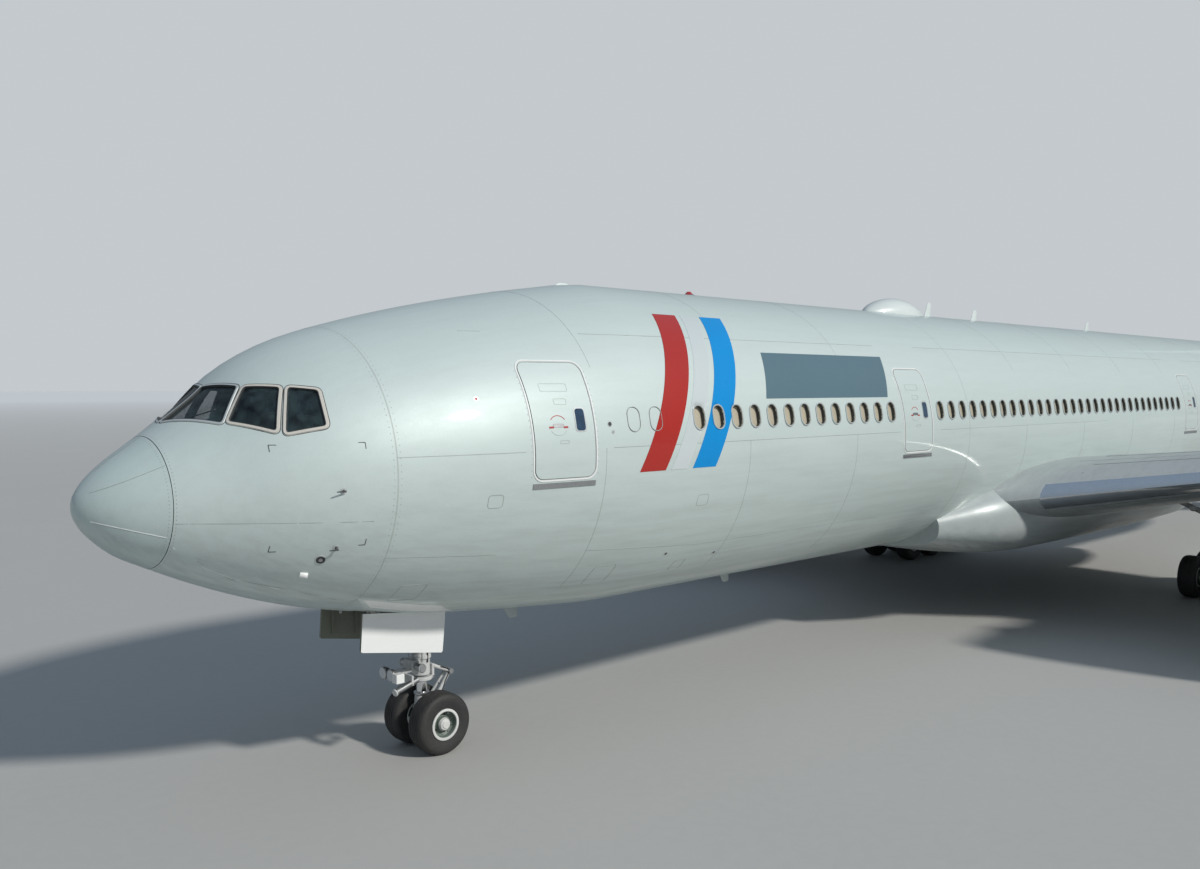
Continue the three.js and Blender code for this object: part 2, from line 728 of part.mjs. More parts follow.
// Engines. Profiles run along the engine's axis from the inlet lip.
const nacelleOuter = [[0, 1640], [70, 1745], [600, 1860], [1800, 1905], [3300, 1850], [5000, 1500]]
const nacelleInner = [[5000, 1475], [3600, 1560], [2400, 1430], [1000, 1430], [300, 1480]]
const fanX = 1700
const fanBlades = 22
const spinnerProfile = [[-620, 0], [-520, 150], [-250, 330], [0, 430], [170, 440], [170, 0]]
// Sections of a blade. Columns: radius, pitch from the axis in degrees, chord, thickness
const bladeStations = [
  [360, 30, 270, 44],
  [700, 43, 330, 38],
  [1050, 54, 370, 30],
  [1385, 62, 380, 24],
]
const coreProfile = [
  [2130, 0],
  [2130, 520],
  [2600, 800],
  [3900, 980],
  [5200, 900],
  [6600, 640],
  [6650, 400],
  [7350, 60],
  [7400, 0],
]

function buildEngine(side, wing) {
  const name = side < 0 ? 'left' : 'right'
  const [x, y, z] = [inletX, engineY, engineZ]
  const shaftRadius = 110

  // Pylon: a slim upright blade from the core, through the cowl, to the wing's lower face.
  // Columns: x from the inlet, half width, lower z, upper z, both from the engine's axis
  const pylonStations = [
    [1900, 40, 1560, 1900],
    [2600, 190, 900, 2150],
    [4000, 240, 930, 2420],
    [5600, 240, 880, 2650],
    [7200, 200, 900, 2700],
    [8800, 90, 1350, 2500],
  ]
  const pylonWhole = loft(pylonStations.map(([along, halfWidth, low, high]) => [
    [0, low], [halfWidth * 0.8, low], [halfWidth, (low + high) / 2], [halfWidth * 0.8, high], [0, high],
    [-halfWidth * 0.8, high], [-halfWidth, (low + high) / 2], [-halfWidth * 0.8, low],
  ].map(([across, up]) => new THREE.Vector3(x + along, y + across, z + up))))
  const core = turnedOnX(coreProfile, 16, x, y, z)
    .add(rod([x + fanX - 250, y, z], [x + 2200, y, z], shaftRadius, shaftRadius, 16))
  const grownProfile = coreProfile.map(([along, radius]) => [along, radius && radius + seatGap])
  const coreGrown = turnedOnX(grownProfile, 16, x, y, z)
  const pylon = largest(pylonWhole.subtract(padded(wing)).subtract(coreGrown))
  const nacelle = turnedOnX([...nacelleOuter, ...nacelleInner, nacelleOuter[0]], 24, x, y, z)

  const bladeRings = bladeStations.map(([radius, pitch, chord, thickness]) => {
    const turn = THREE.MathUtils.degToRad(pitch)
    return [[-1, -1], [1, -1], [1, 1], [-1, 1]].map(([u, v]) => new THREE
      .Vector3(u * chord / 2, v * thickness / 2, radius)
      .applyAxisAngle(upward, turn))
  })
  const blades = []
  for (let index = 0; index < fanBlades; index++) {
    const turn = index / fanBlades * 2 * Math.PI
    const rings = bladeRings.map((ring) => ring.map((point) => point.clone()
      .applyAxisAngle(new THREE.Vector3(1, 0, 0), turn)
      .add(new THREE.Vector3(x + fanX, y, z))))
    blades.push(loft(rings))
  }
  const spinner = turnedOnX(spinnerProfile, 12, x + fanX, y, z)
  const fan = union([spinner, ...blades])
    .subtract(boreFor([x + fanX - 260, y, z], [x + fanX + 300, y, z], shaftRadius))

  mirroredPiece(`${name}_nacelle`, largest(nacelle.subtract(padded(pylonWhole))), side, 'hull')
  mirroredPiece(`${name}_engine_core`, core, side, 'hotMetal')
  mirroredPiece(`${name}_pylon`, pylon, side, 'wing')
  mirroredPiece(`${name}_fan`, fan, side, 'bareMetal')
}

// Wheels. A twin wheel is two tyres on their rims, joined by the axle that turns in the gear's bore.
// The profile runs along the axle from one hub cap to the other.
function twinWheel({ tyreRadius, rimRadius, width, spread, axleRadius }) {
  const round = tyreRadius / Math.cos(Math.PI / wheelSides)
  const half = spread / 2
  const outside = [
    [half + width * 0.46, 0],
    [half + width * 0.46, rimRadius * 0.34],
    [half + width * 0.2, rimRadius * 0.45],
    [half + width * 0.2, rimRadius * 0.9],
    [half + width * 0.46, rimRadius],
    [half + width * 0.5, tyreRadius * 0.84],
    [half + width * 0.3, round],
    [half - width * 0.3, round],
    [half - width * 0.5, tyreRadius * 0.84],
    [half - width * 0.3, axleRadius],
  ]
  return [...outside, ...outside.map(([along, radius]) => [-along, radius]).reverse()]
}

// The bore that an axle turns in
function axleBore(wheel, x, y, z, halfLength) {
  const radius = (wheel.axleRadius + seatGap) / Math.cos(Math.PI / wheelSides)
  return rod([x, y - halfLength, z], [x, y + halfLength, z], radius, radius, wheelSides)
}

const noseWheel = { tyreRadius: noseTyreRadius, rimRadius: 275, width: 430, spread: 780, axleRadius: 80 }
const mainWheel = { tyreRadius: mainTyreRadius, rimRadius: 300, width: 490, spread: 1400, axleRadius: 95 }

function buildNoseGear() {
  const axleZ = noseTyreRadius
  const bayTopZ = fuselageCentreZ - 1500
  const leg = [
    rod([noseStrutX, 0, 1330], [noseStrutX, 0, bayTopZ - seatGap], 150),
    rod([noseStrutX, -619, 3350], [noseStrutX, 619, 3350], 110),
    rod([noseStrutX - 60, 0, 1900], [4080, 0, 3150], 75),
    rod([4080, -619, 3150], [4080, 619, 3150], 60),
    // Steering actuators and the lamps ahead of the strut
    rod([noseStrutX - 180, -330, 1520], [noseStrutX - 180, 330, 1520], 70),
    box(noseStrutX - 260, noseStrutX, -120, 120, 1420, 1640),
    rod([noseStrutX - 380, -260, 1720], [noseStrutX - 250, -260, 1720], 105),
    rod([noseStrutX - 380, 260, 1720], [noseStrutX - 250, 260, 1720], 105),
    box(noseStrutX - 290, noseStrutX - 90, -300, 300, 1690, 1750),
  ]
  const [pistonRadius, pistonTopZ] = [100, 1690]
  const pistonBore = boreFor([noseStrutX, 0, 1300], [noseStrutX, 0, pistonTopZ + 20], pistonRadius)
  piece('nose_gear_leg', union(leg).subtract(pistonBore), 'gear', model)

  const apex = [noseStrutX + 560, 0, 1300]
  const hubHalf = 150
  const steering = [
    rod([noseStrutX, 0, 560], [noseStrutX, 0, pistonTopZ], pistonRadius, pistonRadius, 16),
    rod([noseStrutX, 0, 470], [noseStrutX, 0, 780], 135),
    rod([noseAxleX, -hubHalf, axleZ], [noseAxleX, hubHalf, axleZ], 150),
    box(noseStrutX - 60, noseAxleX + 60, -100, 100, 420, 660),
    // The towing lug ahead of the axle
    box(noseStrutX - towLugReach, noseStrutX, -70, 70, axleZ - 60, axleZ + 60),
    rod([noseStrutX + 80, -70, 720], [apex[0], -70, apex[2]], 36),
    rod([noseStrutX + 80, 70, 720], [apex[0], 70, apex[2]], 36),
    rod([apex[0], -120, apex[2]], [apex[0], 120, apex[2]], 50),
    rod([noseStrutX + 220, -60, 1470], [apex[0], -60, apex[2]], 36),
    rod([noseStrutX + 220, 60, 1470], [apex[0], 60, apex[2]], 36),
    rod([noseStrutX, 0, 1240], [noseStrutX, 0, 1330 - runningGap], 190, 190, 12),
    box(noseStrutX + 165, noseStrutX + 215, -90, 90, 1255, 1500),
    box(noseStrutX + 60, noseStrutX + 215, -90, 90, 1250, 1300),
  ]
  const steered = union(steering).subtract(axleBore(noseWheel, noseAxleX, 0, axleZ, 400))
  piece('nose_gear_steering', steered, 'bareMetal', model)
  piece('nose_wheels', turnedOnY(twinWheel(noseWheel), wheelSides, noseAxleX, 0, axleZ), 'tyre', model)

  // Doors that hang open beside the leg, their lower edges sloping down aft
  for (const side of [-1, 1]) {
    const outline = new THREE.Shape()
    outline.moveTo(4120, 2740)
    outline.lineTo(5720, 2560)
    outline.lineTo(5660, 1850)
    outline.lineTo(4080, 2110)
    const geometry = new THREE.ExtrudeGeometry(outline, { depth: 45, bevelEnabled: false })
    geometry.rotateX(Math.PI / 2)
    const door = toSolid(geometry).translate([0, side < 0 ? -640 + 0 : 640 + 45, 0])
    const name = side < 0 ? 'nose_gear_door_left' : 'nose_gear_door_right'
    const hull = fuselageBetween(noseJointX, 7000, seatGap).translate([0, 0, fuselageCentreZ])
    piece(name, largest(door.subtract(hull)), 'white', model)
  }
}

function buildMainGear(side, wing) {
  const name = side < 0 ? 'left' : 'right'
  const axleZ = mainTyreRadius
  const [frontX, middleX, backX] = mainAxleX
  const y = mainGearY
  const [beamRadius, hubHalf, hubRadius] = [130, 300, 165]
  const bogie = [
    rod([frontX - 60, y, axleZ], [backX + 60, y, axleZ], beamRadius),
    // Jacking pads under both ends of the beam
    box(frontX - 50, frontX + 50, y - 60, y + 60, jackPadZ, axleZ),
    box(backX - 50, backX + 50, y - 60, y + 60, jackPadZ, axleZ),
  ]
  mainAxleX.forEach((x, index) => {
    bogie.push(rod([x, y - hubHalf, axleZ], [x, y + hubHalf, axleZ], hubRadius))
    const wheel = turnedOnY(twinWheel(mainWheel), wheelSides, x, y, axleZ)
    mirroredPiece(`${name}_main_wheels_${index + 1}`, wheel, side, 'tyre', model)
  })
  const bores = union(mainAxleX.map((x) => axleBore(mainWheel, x, y, axleZ, 400)))
  mirroredPiece(`${name}_main_bogie`, union(bogie).subtract(bores), side, 'gear', model)

  const wingOnGround = wing.translate([0, 0, fuselageCentreZ])
  const fairingOnGround = handed(fairingSolid(seatGap), side).translate([0, 0, fuselageCentreZ])
  const saddleZ = axleZ + hubRadius + seatGap
  const leg = union([
    rod([middleX, y, saddleZ], [middleX, y, 1750], 130),
    rod([middleX, y, 1700], [middleX, y, 3900], 200, 210),
    rod([middleX, y - 60, 2100], [middleX - 100, 3300, 3050], 85),
    rod([middleX - 80, y, 2050], [middleX - 1900, y - 250, 3600], 80),
    box(middleX - 130, middleX + 130, y - 160, y + 160, saddleZ, saddleZ + 260),
    // Torque links behind the piston
    rod([middleX + 90, y, 1000], [middleX + 480, y, 1400], 50),
    rod([middleX + 480, y, 1400], [middleX + 170, y, 1850], 50),
    // The door on the outboard side of the leg
    placed(new THREE.BoxGeometry(900, 40, 1900), [middleX, y + 330, 2450]),
    box(middleX - 60, middleX + 60, y + 150, y + 325, 1900, 1980),
    box(middleX - 60, middleX + 60, y + 150, y + 325, 2700, 2780),
  ])
  const cut = leg.subtract(padded(wingOnGround)).subtract(fairingOnGround)
  mirroredPiece(`${name}_main_gear_leg`, largest(cut), side, 'gear', model)
}

// The white blister on the crown
function buildCrown() {
  const blister = new THREE.SphereGeometry(1, 20, 10)
  blister.scale(1500, 560, 480)
  const solid = placed(blister, [21100, 0, fuselageRadius - 60])
  piece('satcom_radome', largest(solid.subtract(fuselageBetween(17000, 23500, seatGap))), 'white')
}

buildNose()
buildFuselage()
const belly = fairingSolid(0).subtract(fuselageBetween(17000, 41000, seatGap))
piece('belly_fairing', largest(belly), 'fairing')
for (const side of [-1, 1]) {
  const wing = buildWing(side)
  buildEngine(side, wing)
  buildMainGear(side, wing)
}
buildTail()
buildNoseGear()
buildCrown()

export { hinges }
export default model
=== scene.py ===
# Looks of a wide body airliner, a 1:2 scale model parked on its gear.
# Sizes are the real aircraft's, in metres, and place() brings them to the model.

import bisect
import contextlib
import math

import bmesh
import bpy
from mathutils import Matrix, Vector


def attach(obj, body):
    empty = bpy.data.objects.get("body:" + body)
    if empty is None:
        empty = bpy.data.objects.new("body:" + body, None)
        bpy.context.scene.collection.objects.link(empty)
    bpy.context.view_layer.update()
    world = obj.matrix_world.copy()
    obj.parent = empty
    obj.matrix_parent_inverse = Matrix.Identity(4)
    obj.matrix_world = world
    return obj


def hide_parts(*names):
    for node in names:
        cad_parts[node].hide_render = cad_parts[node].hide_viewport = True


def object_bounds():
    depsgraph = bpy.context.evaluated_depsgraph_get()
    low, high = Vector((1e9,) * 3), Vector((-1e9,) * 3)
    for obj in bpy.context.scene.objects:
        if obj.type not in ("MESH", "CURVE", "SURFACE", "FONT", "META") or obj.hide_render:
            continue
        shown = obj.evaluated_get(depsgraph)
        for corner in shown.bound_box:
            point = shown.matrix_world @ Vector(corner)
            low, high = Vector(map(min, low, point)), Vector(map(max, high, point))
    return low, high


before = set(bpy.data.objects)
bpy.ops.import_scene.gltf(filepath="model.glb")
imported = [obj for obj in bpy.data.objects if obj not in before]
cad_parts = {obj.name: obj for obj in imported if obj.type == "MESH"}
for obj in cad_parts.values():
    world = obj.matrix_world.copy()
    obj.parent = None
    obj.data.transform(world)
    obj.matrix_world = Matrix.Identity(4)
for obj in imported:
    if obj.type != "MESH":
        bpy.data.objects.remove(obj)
cadBox = [list(corner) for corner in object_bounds()]

modelScale = 0.5
noseTip = cadBox[0][0]
axisHeight = 5.294      # fuselage centre line above the ground
sides = {"left": -1, "right": 1}
fullTurn = 2 * math.pi


def place(x, y, z):
    # real metres aft of the nose, to the right and above the centre line
    return Vector((noseTip + x * modelScale, y * modelScale, (z + axisHeight) * modelScale))


def realPoint(point):
    # the way back from a model point to real metres
    return Vector(((point[0] - noseTip) / modelScale, point[1] / modelScale, point[2] / modelScale - axisHeight))


def over(x, y, z):
    # a place whose height is given over the ground
    return x, y, z - axisHeight


def spread(start, end, count):
    return [start + (end - start) * index / count for index in range(count + 1)]


def circle(count, shift=0.0):
    # cosine and sine of even steps round a turn
    angles = [fullTurn * (step + shift) / count for step in range(count)]
    return [(math.cos(angle), math.sin(angle)) for angle in angles]


def ringFaces(rows, count):
    # quads between rings of count points
    return [(low + index, low + (index + 1) % count, low + count + (index + 1) % count, low + count + index)
            for low in range(0, (rows - 1) * count, count) for index in range(count)]


def tubeFaces(rows, count):
    return ringFaces(rows, count) + [tuple(range(count))[::-1], tuple(range((rows - 1) * count, rows * count))]


# Pieces

def linked(name, mesh):
    piece = bpy.data.objects.new(name, mesh)
    bpy.context.scene.collection.objects.link(piece)
    return piece


def newPiece(name, points, faces, materials, indices=None, smooth=True):
    mesh = bpy.data.meshes.new(name)
    mesh.from_pydata([place(*point) for point in points], [], faces)
    for material in materials if isinstance(materials, (list, tuple)) else [materials]:
        mesh.materials.append(material)
    for face in mesh.polygons:
        face.use_smooth = smooth
        if indices:
            face.material_index = indices[face.index]
    mesh.validate()
    return linked(name, mesh)


def applied(piece):
    # the piece with its modifiers turned into a plain mesh
    graph = bpy.context.evaluated_depsgraph_get()
    old, piece.data = piece.data, bpy.data.meshes.new_from_object(piece.evaluated_get(graph), depsgraph=graph)
    piece.modifiers.clear()
    bpy.data.meshes.remove(old)
    piece.data.name = piece.name
    return piece


def discard(pieces):
    for piece in pieces:
        mesh = piece.data
        bpy.data.objects.remove(piece)
        bpy.data.meshes.remove(mesh)


def cutWith(piece, cutters):
    for cutter in cutters:
        modifier = piece.modifiers.new("cut", "BOOLEAN")
        modifier.operation = "DIFFERENCE"
        modifier.solver = "EXACT"
        modifier.object = cutter
    bpy.context.view_layer.update()
    applied(piece)
    discard(cutters)


def joined(name, pieces):
    # several pieces as one mesh, with their materials
    merged = bmesh.new()
    materials = []
    for piece in pieces:
        offset = []
        for material in piece.data.materials:
            if material not in materials:
                materials.append(material)
            offset.append(materials.index(material))
        before = len(merged.faces)
        merged.from_mesh(piece.data)
        merged.faces.ensure_lookup_table()
        for face in merged.faces[before:]:
            face.material_index = offset[face.material_index]
    mesh = bpy.data.meshes.new(name)
    merged.to_mesh(mesh)
    merged.free()
    for material in materials:
        mesh.materials.append(material)
    discard(pieces)
    return linked(name, mesh)


def finishPiece(piece, body, slot, *replaced):
    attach(piece, body)
    if replaced:
        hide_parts(*replaced)


def finishJoined(name, parts, slot, *replaced, body="airframe"):
    finishPiece(joined(name, parts), body, slot, *replaced)


@contextlib.contextmanager
def editing(piece):
    mesh = bmesh.new()
    mesh.from_mesh(piece.data)
    yield mesh
    mesh.to_mesh(piece.data)
    mesh.free()


def sharpened(piece, degrees=32):
    # smooth shading that breaks at the sharp edges
    with editing(piece) as mesh:
        for edge in mesh.edges:
            edge.smooth = edge.calc_face_angle(0) < math.radians(degrees)
        for face in mesh.faces:
            face.smooth = True
    return piece


def outward(piece, sharp=None, near=1e-6):
    # merged doubles, then faces pointing out, and sharp edges from an angle on
    with editing(piece) as mesh:
        bmesh.ops.remove_doubles(mesh, verts=mesh.verts, dist=near)
        bmesh.ops.recalc_face_normals(mesh, faces=mesh.faces)
    return sharpened(piece, sharp) if sharp else piece


def prism(name, near, far, materials, marks=(0, 0, 0)):
    # two like outlines and the band between them; marks are the materials of both ends and the band
    count = len(near)
    faces = [tuple(range(count)), tuple(range(2 * count - 1, count - 1, -1))] + ringFaces(2, count)
    return outward(newPiece(name, near + far, faces, materials, [*marks[:2], *[marks[2]] * count], smooth=False))


def plainBox(name, low, high, material, bevel=0.0, turn=None):
    # a block with softened edges; turn is (angle, axis) about its middle
    points = [(x, y, z) for x in (low[0], high[0]) for y in (low[1], high[1]) for z in (low[2], high[2])]
    faces = [(0, 1, 3, 2), (4, 6, 7, 5), (0, 4, 5, 1), (2, 3, 7, 6), (0, 2, 6, 4), (1, 5, 7, 3)]
    if turn:
        middle = (Vector(low) + Vector(high)) / 2
        spin = Matrix.Rotation(turn[0], 3, turn[1])
        points = [middle + spin @ (Vector(point) - middle) for point in points]
    piece = newPiece(name, points, faces, material, smooth=False)
    if bevel:
        modifier = piece.modifiers.new("edges", "BEVEL")
        modifier.width = bevel * modelScale
        modifier.segments = 2
        applied(piece)
    return outward(piece, near=1e-7)


def rod(name, start, end, radius, material, endRadius=None, sides=24, bevel=0.12):
    # a turned bar with softened ends; a bevel of 0 leaves them square
    start, along = Vector(start), Vector(end) - Vector(start)
    endRadius = radius if endRadius is None else endRadius
    length, turn = along.length, along.to_track_quat("Z", "Y")
    soft = min(bevel * min(radius, endRadius), length * 0.2)
    rings = [(0, radius - soft), (soft, radius), (length - soft, endRadius), (length, endRadius - soft)]
    if bevel == 0:
        rings = rings[::3]
    points = [start + turn @ Vector((r * across, r * up, height)) for height, r in rings
              for across, up in circle(sides)]
    return sharpened(newPiece(name, points, tubeFaces(len(rings), sides), material), 40)


def pipe(name, corners, radius, material, sides=8, steps=6):
    # a bent line through its corners
    path = [Vector(corners[0])]
    padded = [corners[0], *corners, corners[-1]]
    for row in zip(padded, padded[1:], padded[2:], padded[3:]):
        a, b, c, d = map(Vector, row)
        for t in spread(0, 1, steps)[1:]:
            bend = (2 * a - 5 * b + 4 * c - d) * t ** 2 + (3 * b - a - 3 * c + d) * t ** 3
            path.append(0.5 * (2 * b + (c - a) * t + bend))
    points, side = [], None
    for index, here in enumerate(path):
        along = (path[min(index + 1, len(path) - 1)] - path[max(index - 1, 0)]).normalized()
        side = along.orthogonal() if side is None else side - along * side.dot(along)
        side.normalize()
        points += [here + (side * x + along.cross(side) * y) * radius for x, y in circle(sides)]
    return newPiece(name, points, tubeFaces(len(path), sides), material)


def loftRings(name, rings, material, sharp=None):
    # a closed skin through rings of equal count, with strips of quads as end caps
    count, faces = len(rings[0]), ringFaces(len(rings), len(rings[0]))
    for first, flip in ((0, False), ((len(rings) - 1) * count, True)):
        for index in range(count // 2):
            cap = tuple(dict.fromkeys((first + index, first + index + 1, first + count - 2 - index,
                                       first + count - 1 - index)))
            faces.append(cap[::-1] if flip else cap)
    return outward(newPiece(name, [point for ring in rings for point in ring], faces, material), sharp)


def turned(name, profile, centre, sides, materials, indices=None, axle="x", closed=False):
    # rows of (along, radius) turned about a line along x or y through centre
    points, faces, marks, starts = [], [], [], []
    for along, radius in profile:
        starts.append(len(points))
        for up, out in circle(sides)[:None if radius > 1e-6 else 1]:
            offset = (along, radius * out, radius * up) if axle == "x" else (radius * out, along, radius * up)
            points.append(tuple(a + b for a, b in zip(centre, offset)))
    for low, high in enumerate([*range(1, len(profile)), *([0] if closed else [])]):
        for side in range(sides):
            ring = [(low, side), (low, (side + 1) % sides), (high, (side + 1) % sides), (high, side)]
            faces.append(tuple(dict.fromkeys(
                starts[row] + (index if profile[row][1] > 1e-6 else 0) for row, index in ring)))
            marks.append(indices[low] if indices else 0)
    return outward(newPiece(name, points, faces, materials, marks), 30)


def teardrop(name, centre, half, material, blunt=0.36, sides=20, rows=18):
    # a closed streamlined body: half is its half length, half width and half height
    points = []
    for row in range(1, rows):
        full = math.sin(math.pi * (row / rows) ** (math.log(0.5) / math.log(blunt))) ** 0.75
        points += [(centre[0] + half[0] * (2 * row / rows - 1), centre[1] + half[1] * full * across,
                    centre[2] + half[2] * full * up) for across, up in circle(sides)]
    faces, front, last = ringFaces(rows - 1, sides), len(points), (rows - 2) * sides
    points += [(centre[0] + end * half[0], *centre[1:]) for end in (-1, 1)]
    for side in range(sides):
        after = (side + 1) % sides
        faces += [(front, after, side), (front + 1, last + side, last + after)]
    return outward(newPiece(name, points, faces, material))


# Shader and geometry trees

def feed(tree, node, inputs):
    # inputs by name, or by number where names repeat; a socket or a node's first output is linked
    for key, value in dict(inputs).items():
        source = value.outputs[0] if isinstance(value, bpy.types.Node) else value
        if isinstance(source, bpy.types.NodeSocket):
            tree.links.new(source, node.inputs[key])
        else:
            node.inputs[key].default_value = source
    return node


def addNode(tree, kind, inputs=(), **settings):
    node = tree.nodes.new(kind)
    for key, value in settings.items():
        setattr(node, key, value)
    return feed(tree, node, inputs)


def reckon(tree, operation, *values, **settings):
    return addNode(tree, "ShaderNodeMath", enumerate(values), operation=operation, **settings)


def mixed(tree, share, first, second):
    return addNode(tree, "ShaderNodeMix", {"Factor": share, 6: first, 7: second}, data_type="RGBA").outputs[2]


def remapped(tree, value, low, high, most=1.0):
    return addNode(tree, "ShaderNodeMapRange", {"Value": value, "From Min": low, "From Max": high, "To Max": most})


def newGroup(name, kind, inputs, build):
    # inputs are (label, type, default) rows; build(tree, given) gives rows of (label, type, socket)
    group = bpy.data.node_groups.new(name, kind)
    for label, socketType, *default in inputs:
        socket = group.interface.new_socket(name=label, in_out="INPUT", socket_type="NodeSocket" + socketType)
        if default:
            socket.default_value = default[0]
    made = build(group, group.nodes.new("NodeGroupInput").outputs)
    for label, socketType, _ in made:
        group.interface.new_socket(name=label, in_out="OUTPUT", socket_type="NodeSocket" + socketType)
    addNode(group, "NodeGroupOutput", {label: socket for label, _, socket in made})
    return group


def mottle(tree, given):
    # slow tone changes and a fine speckle over a colour, as sprayed mica paint has
    where = addNode(tree, "ShaderNodeTexCoord").outputs["Object"]
    patches = addNode(tree, "ShaderNodeTexNoise", {
        "Vector": where, "Scale": given["Patch Size"], "Detail": 4.0, "Roughness": 0.55})
    speckle = addNode(tree, "ShaderNodeTexNoise", {"Vector": where, "Scale": given["Speckle Size"], "Detail": 2.0})
    mask = remapped(tree, reckon(tree, "MULTIPLY", patches, speckle), 0.12, 0.4, given["Spread"])
    gloss = reckon(tree, "MULTIPLY_ADD", mask, 0.12, given["Roughness"])
    return [("Colour", "Color", mixed(tree, mask, given["Colour"], given["Deep Colour"])),
            ("Roughness", "Float", gloss), ("Height", "Float", speckle)]


def grimed(tree, given):
    # a mask of streaks that run aft along X, stronger where the surface faces down
    where = addNode(tree, "ShaderNodeTexCoord").outputs["Object"]
    stretched = addNode(tree, "ShaderNodeMapping", {"Vector": where, "Scale": (0.7, 9.0, 7.0)})
    streaks = addNode(tree, "ShaderNodeTexNoise", {
        "Vector": stretched, "Scale": 1.6, "Detail": 6.0, "Roughness": 0.62})
    facing = addNode(tree, "ShaderNodeSeparateXYZ", {0: addNode(tree, "ShaderNodeNewGeometry").outputs["Normal"]})
    below = remapped(tree, facing.outputs["Z"], 0.1, -0.95, given["Underside"])
    strength = reckon(tree, "ADD", given["Amount"], below)
    mask = reckon(tree, "MULTIPLY", remapped(tree, streaks, 0.42, 0.78), strength, use_clamp=True)
    return [("Mask", "Float", mask)]


def brushed(tree, given):
    # fine marks drawn out along one axis, for bare metal
    where = addNode(tree, "ShaderNodeTexCoord").outputs["Object"]
    drawn = addNode(tree, "ShaderNodeVectorMath", {0: where, 1: given["Stretch"]}, operation="MULTIPLY")
    marks = addNode(tree, "ShaderNodeTexNoise", {"Vector": drawn, "Scale": given["Size"], "Detail": 5.0})
    return [("Roughness", "Float", reckon(tree, "MULTIPLY_ADD", marks, given["Spread"], given["Roughness"])),
            ("Height", "Float", marks)]


mottledTone = newGroup("mottledTone", "ShaderNodeTree", [
    ("Colour", "Color"), ("Deep Colour", "Color"), ("Patch Size", "Float", 2.0), ("Speckle Size", "Float", 60.0),
    ("Spread", "Float", 0.5), ("Roughness", "Float", 0.3)], mottle)
aftStreaks = newGroup("aftStreaks", "ShaderNodeTree", [
    ("Amount", "Float", 0.3), ("Underside", "Float", 0.6)], grimed)
brushMarks = newGroup("brushMarks", "ShaderNodeTree", [
    ("Stretch", "Vector", (1.0, 1.0, 1.0)), ("Size", "Float", 40.0), ("Roughness", "Float", 0.3),
    ("Spread", "Float", 0.2)], brushed)


def newMaterial(name, coat=(), **shaderValues):
    # a material with its shader's plain values set, its tree and its shader; coat is its weight and roughness
    material = bpy.data.materials.new(name)
    material.use_nodes = True
    tree = material.node_tree
    shaderValues.update(zip(("Coat Weight", "Coat Roughness"), coat))
    return material, tree, feed(tree, tree.nodes["Principled BSDF"], shaderValues)


def toned(tree, colour, deep, patch, speckle, spread, roughness):
    return addNode(tree, "ShaderNodeGroup", {
        "Colour": (*colour, 1), "Deep Colour": (*deep, 1), "Patch Size": patch, "Speckle Size": speckle,
        "Spread": spread, "Roughness": roughness}, node_tree=mottledTone).outputs


def bumped(tree, height, strength, distance):
    return addNode(tree, "ShaderNodeBump", {"Height": height, "Strength": strength, "Distance": distance})


def paintFinish(name, colour, deep, grime=0.06, underside=0.3, patch=1.3, speckle=70.0, spread=0.5, roughness=0.28,
                bump=0.04, **shaderValues):
    material, tree, shader = newMaterial(name, **shaderValues)
    tone = toned(tree, colour, deep, patch, speckle, spread, roughness)
    streaks = addNode(tree, "ShaderNodeGroup", {"Amount": grime, "Underside": underside}, node_tree=aftStreaks)
    feed(tree, shader, {
        "Base Color": mixed(tree, streaks, tone["Colour"], (0.09, 0.085, 0.075, 1)),
        "Roughness": reckon(tree, "MULTIPLY_ADD", streaks, 0.35, tone["Roughness"]),
        "Normal": bumped(tree, tone["Height"], bump, 0.002)})
    return material


def metalFinish(name, colour, deep, stretch=(1, 1, 1), size=30.0, roughness=0.25, spread=0.25):
    material, tree, shader = newMaterial(name, Metallic=1.0)
    marks = addNode(tree, "ShaderNodeGroup", {
        "Stretch": stretch, "Size": size, "Roughness": roughness, "Spread": spread}, node_tree=brushMarks).outputs
    tone = toned(tree, colour, deep, 3.0, size * 2, 0.7, roughness)
    feed(tree, shader, {"Base Color": tone["Colour"], "Roughness": marks["Roughness"],
                        "Normal": bumped(tree, marks["Height"], 0.05, 0.001)})
    return material


def glassFinish(name, colour, deep, patch, speckle, spread, roughness, **shaderValues):
    material, tree, shader = newMaterial(name, Metallic=0.0, IOR=1.5, **shaderValues)
    tone = toned(tree, colour, deep, patch, speckle, spread, roughness)
    feed(tree, shader, {"Base Color": tone["Colour"]})
    return material, tree, shader, tone


def clean(name, colour, deep, roughness, **options):
    # paint without streaks
    return paintFinish(name, colour, deep, 0.0, roughness=roughness, **options)


hullPaint = paintFinish("silver_mica_paint", (0.575, 0.665, 0.65), (0.515, 0.60, 0.585), patch=0.7, spread=0.4,
                        underside=0.2, roughness=0.5, bump=0.02, Metallic=0.14, coat=(0.45, 0.05))
radomePaint = paintFinish("radome_paint", (0.53, 0.63, 0.62), (0.48, 0.57, 0.56), patch=1.0, underside=0.2,
                          roughness=0.48, Metallic=0.1, coat=(0.4, 0.07))
wingPaint = paintFinish("wing_grey_paint", (0.42, 0.455, 0.46), (0.35, 0.38, 0.39), 0.16, 0.2, patch=1.1,
                        roughness=0.38, Metallic=0.1, coat=(0.2, 0.2))
whitePaint = paintFinish("white_gloss_paint", (0.70, 0.76, 0.745), (0.60, 0.66, 0.645), 0.05, roughness=0.3,
                         coat=(0.4, 0.1))
edgePaint = paintFinish("door_edge_white", (0.82, 0.84, 0.83), (0.74, 0.76, 0.76), 0.02, 0.1, roughness=0.3,
                        coat=(0.3, 0.1))
